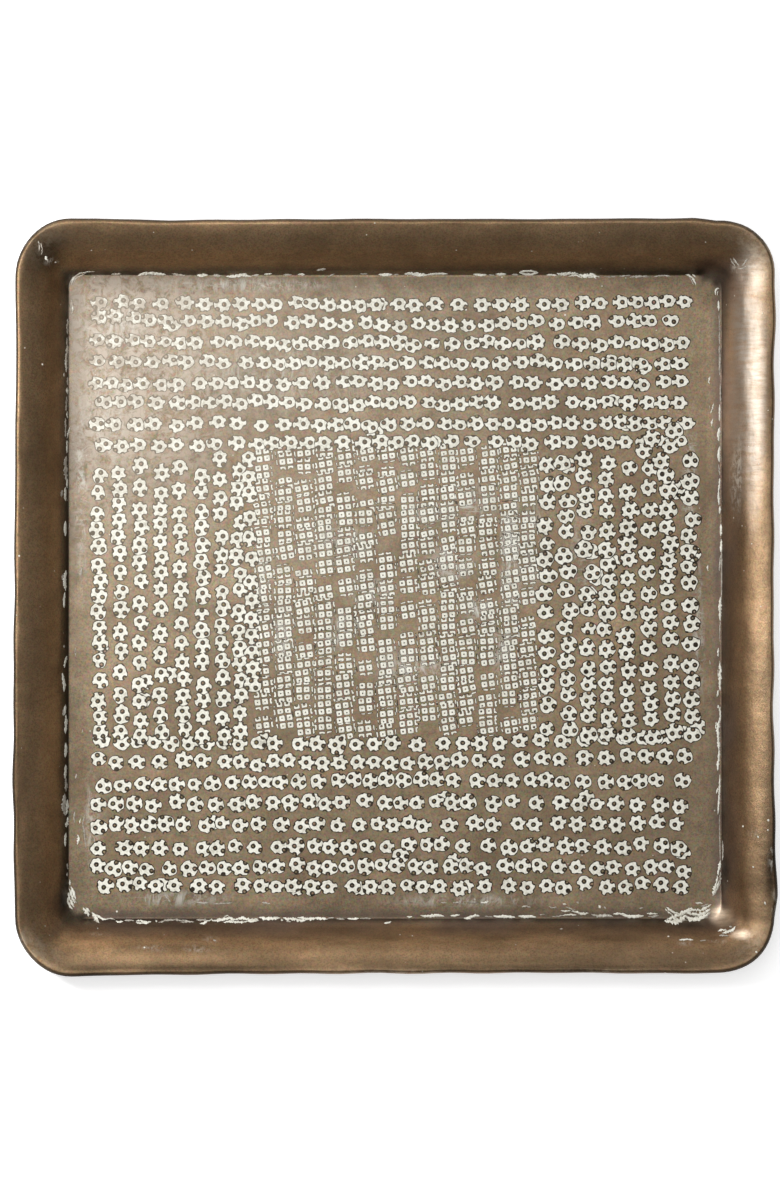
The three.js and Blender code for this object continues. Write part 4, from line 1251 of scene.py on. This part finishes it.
    ([[181.2,181.6],[182.6,179.2],[184.8,176.9]],0.54,1,0.6), ([[185.8,177.1],[187.4,178.7],[188.8,181.0]],0.59,1,0.6),
    ([[183.7,175.9],[186.2,175.6],[188.0,177.1]],0.54,1,0.5), ([[199.4,-119.3],[200.4,-120.2]],1.07,0,0.4),
    ([[199.3,-124.6],[200.2,-125.2]],0.86,0,0.4), ([[194.0,-128.0],[194.7,-129.4]],1.02,0,0.4), ([[191.5,-144.4],[192.2,-145.1]],0.8,0,0.4),
    ([[197.8,-163.3],[198.6,-164.8]],1.07,0,0.4), ([[193.1,-189.7],[194.0,-190.7]],0.91,0,0.4),
    ([[152.1,-183.9],[155.9,-183.5],[159.9,-183.8]],0.91,0,0.4), ([[163.4,-184.3],[166.6,-184.1]],0.48,1,0.5),
    ([[173.0,-179.3],[175.1,-178.2],[177.8,-178.6]],1.07,0,0.7), ([[175.1,-180.3],[177.8,-179.7],[181.0,-178.4],[182.4,-176.6]],1.07,0,0.7),
    ([[173.8,-181.6],[176.2,-181.3],[178.9,-181.6]],0.64,1,0.7), ([[179.1,-176.6],[180.8,-177.0]],0.75,1,0.6),
    ([[-97.4,-183.7],[-95.8,-184.4]],0.91,1,0.5), ([[88.4,-178.2],[90.0,-177.9]],0.64,1,0.5), ([[-159.6,-177.6],[-158.9,-178.1]],0.86,1,0.5),
]

tree = BVHTree.FromPolygons([tuple(v) for v in RV], rim_faces)


def surface(x, y):
    hit = tree.ray_cast(Vector((x, y, 60.0)), Vector((0, 0, -1)))
    return FLOOR_Z if hit[0] is None else max(hit[0].z, FLOOR_Z - 0.30)


rb = np.random.default_rng(5)
crust = {k: ([], [], []) for k in ("back", "front", "left", "right")}
ACROSS = ((-1.0, -0.06), (-0.62, 0.72), (0.0, 1.0), (0.62, 0.72), (1.0, -0.06), (0.0, -0.25))


def stroke(pts, width, kind, rag):
    pts = np.array(pts, float)
    seg_ = np.hypot(*np.diff(pts, axis=0).T)
    at_ = np.concatenate([[0], np.cumsum(seg_)])
    L = at_[-1]
    n = max(6, int(L / 0.40) + 1)
    s_ = np.linspace(0, L, n)
    c = np.column_stack([np.interp(s_, at_, pts[:, 0]), np.interp(s_, at_, pts[:, 1])])
    for _ in range(3):
        c[1:-1] = 0.5 * c[1:-1] + 0.25 * (c[:-2] + c[2:])
    tan = np.gradient(c, axis=0)
    tan /= np.linalg.norm(tan, axis=1)[:, None]
    nor = np.column_stack([-tan[:, 1], tan[:, 0]])
    c = c + nor * (rb.normal(0, 0.10 * rag * width, n))[:, None]
    t = s_ / L
    tip = min(0.45, 0.9 * width / L + 0.12)
    taper = np.clip(np.minimum(t, 1 - t) / tip, 0.02, 1) ** 0.65
    half = []
    for _ in range(2):
        e = rb.normal(0, 1, n)
        e = 0.6 * e + 0.4 * np.roll(e, 1)
        half.append(width / 2 * taper * np.clip(1 + rag * 0.9 * e, 0.18, 1.7) + 0.04)
    tall = (0.16 + 0.10 * width) * (0.35 + 0.65 * taper) * np.clip(1 + 0.35 * rb.normal(0, 1, n), 0.4, 1.6)
    mx, my = c.mean(0)
    side = max((("back", my - CREASE_Y), ("front", -my - CREASE_Y), ("left", -mx - CREASE_X), ("right", mx - CREASE_X)), key=lambda v: v[1])[0]
    V, Fc, M = crust[side]
    b0, m = len(V), len(ACROSS)
    for i in range(n):
        for u, h in ACROSS:
            w = half[0][i] if u > 0 else half[1][i]
            x, y = c[i] + nor[i] * u * w
            V.append((x, y, surface(x, y) + h * tall[i]))
    for i in range(n - 1):
        for q in range(m):
            r_ = (q + 1) % m
            Fc.append((b0 + i * m + q, b0 + (i + 1) * m + q, b0 + (i + 1) * m + r_, b0 + i * m + r_))
            M.append(kind)
    Fc.append(tuple(b0 + q for q in range(m)))
    Fc.append(tuple(b0 + (n - 1) * m + q for q in range(m - 1, -1, -1)))
    M.extend((kind, kind))


for pts, width, kind, rag in STROKES:
    stroke(pts, width, kind, rag)
for side, node in (("back", "crease_fill_back"), ("front", "crease_fill_front"), ("left", "crease_fill_left"), ("right", "crease_fill_right")):
    o = new_object("crease_filler_" + side, crust[side][0], crust[side][1], [mat_chalk, mat_worn], crust[side][2], True)
    print(side, "crust faces", len(crust[side][1]))
    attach(o, "root")
    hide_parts(node)

# ------------------------------------------------------------------ floor, light
ground = new_object("ground", [(-6000, -6000, -0.3), (6000, -6000, -0.3), (6000, 6000, -0.3), (-6000, 6000, -0.3)], [(0, 1, 2, 3)], [], None, False)
gm = Nodes("ground_paper")
gm.bsdf.inputs["Base Color"].default_value = (0.92, 0.92, 0.92, 1)
gm.bsdf.inputs["Roughness"].default_value = 0.9
gm.bsdf.inputs["Emission Color"].default_value = (1, 1, 1, 1)
gm.bsdf.inputs["Emission Strength"].default_value = 0.56
ground.data.materials.append(gm.mat)


def area(name, loc, target, sx, sy, power, color=(1, 1, 1)):
    l = bpy.data.lights.new(name, "AREA")
    l.shape = "RECTANGLE"
    l.size, l.size_y = sx, sy
    l.energy = power
    l.color = color
    o = bpy.data.objects.new(name, l)
    o.location = loc
    o.rotation_euler = (Vector(target) - Vector(loc)).to_track_quat("-Z", "Y").to_euler()
    bpy.context.scene.collection.objects.link(o)
    return o


world = bpy.data.worlds.new("studio")
world.use_nodes = True
world.node_tree.nodes["Background"].inputs[0].default_value = (1.0, 1.0, 1.0, 1)
world.node_tree.nodes["Background"].inputs[1].default_value = 0.30
bpy.context.scene.world = world
area("overhead", (-0.1, 0.3, 2.4), (0, 0, 0), 1.4, 1.4, 14.0)
area("back_left", (-0.60, 1.0, 0.60), (0, 0, 0), 0.5, 0.5, 3.2)
area("left", (-0.60, 0.115, 0.62), (0.2, 0.1, 0), 0.15, 0.15, 2.6)
area("left_up", (-0.52, 0.115, 0.95), (0.2, 0.1, 0), 0.2, 0.2, 2.6)
area("left_near", (-0.5, 0.16, 0.28), (0.1, 0.1, 0), 0.2, 0.12, 0.3)
area("left_edge", (-0.42, 0.20, 0.40), (0.15, 0.1, 0), 0.15, 0.15, 0.3)
area("back", (0, 1.3, 0.9), (0, 0, 0), 1.0, 0.8, 1.6)
area("back_low", (-0.1, 1.5, 0.35), (0, 0, 0), 1.6, 0.5, 3.4)
area("front_low", (0, -1.5, 0.4), (0, 0, 0), 1.6, 0.5, 0.4)
area("right_low", (1.5, 0, 0.4), (0, 0, 0), 1.6, 0.5, 0.1)
bpy.context.scene.view_settings.view_transform = "Standard"
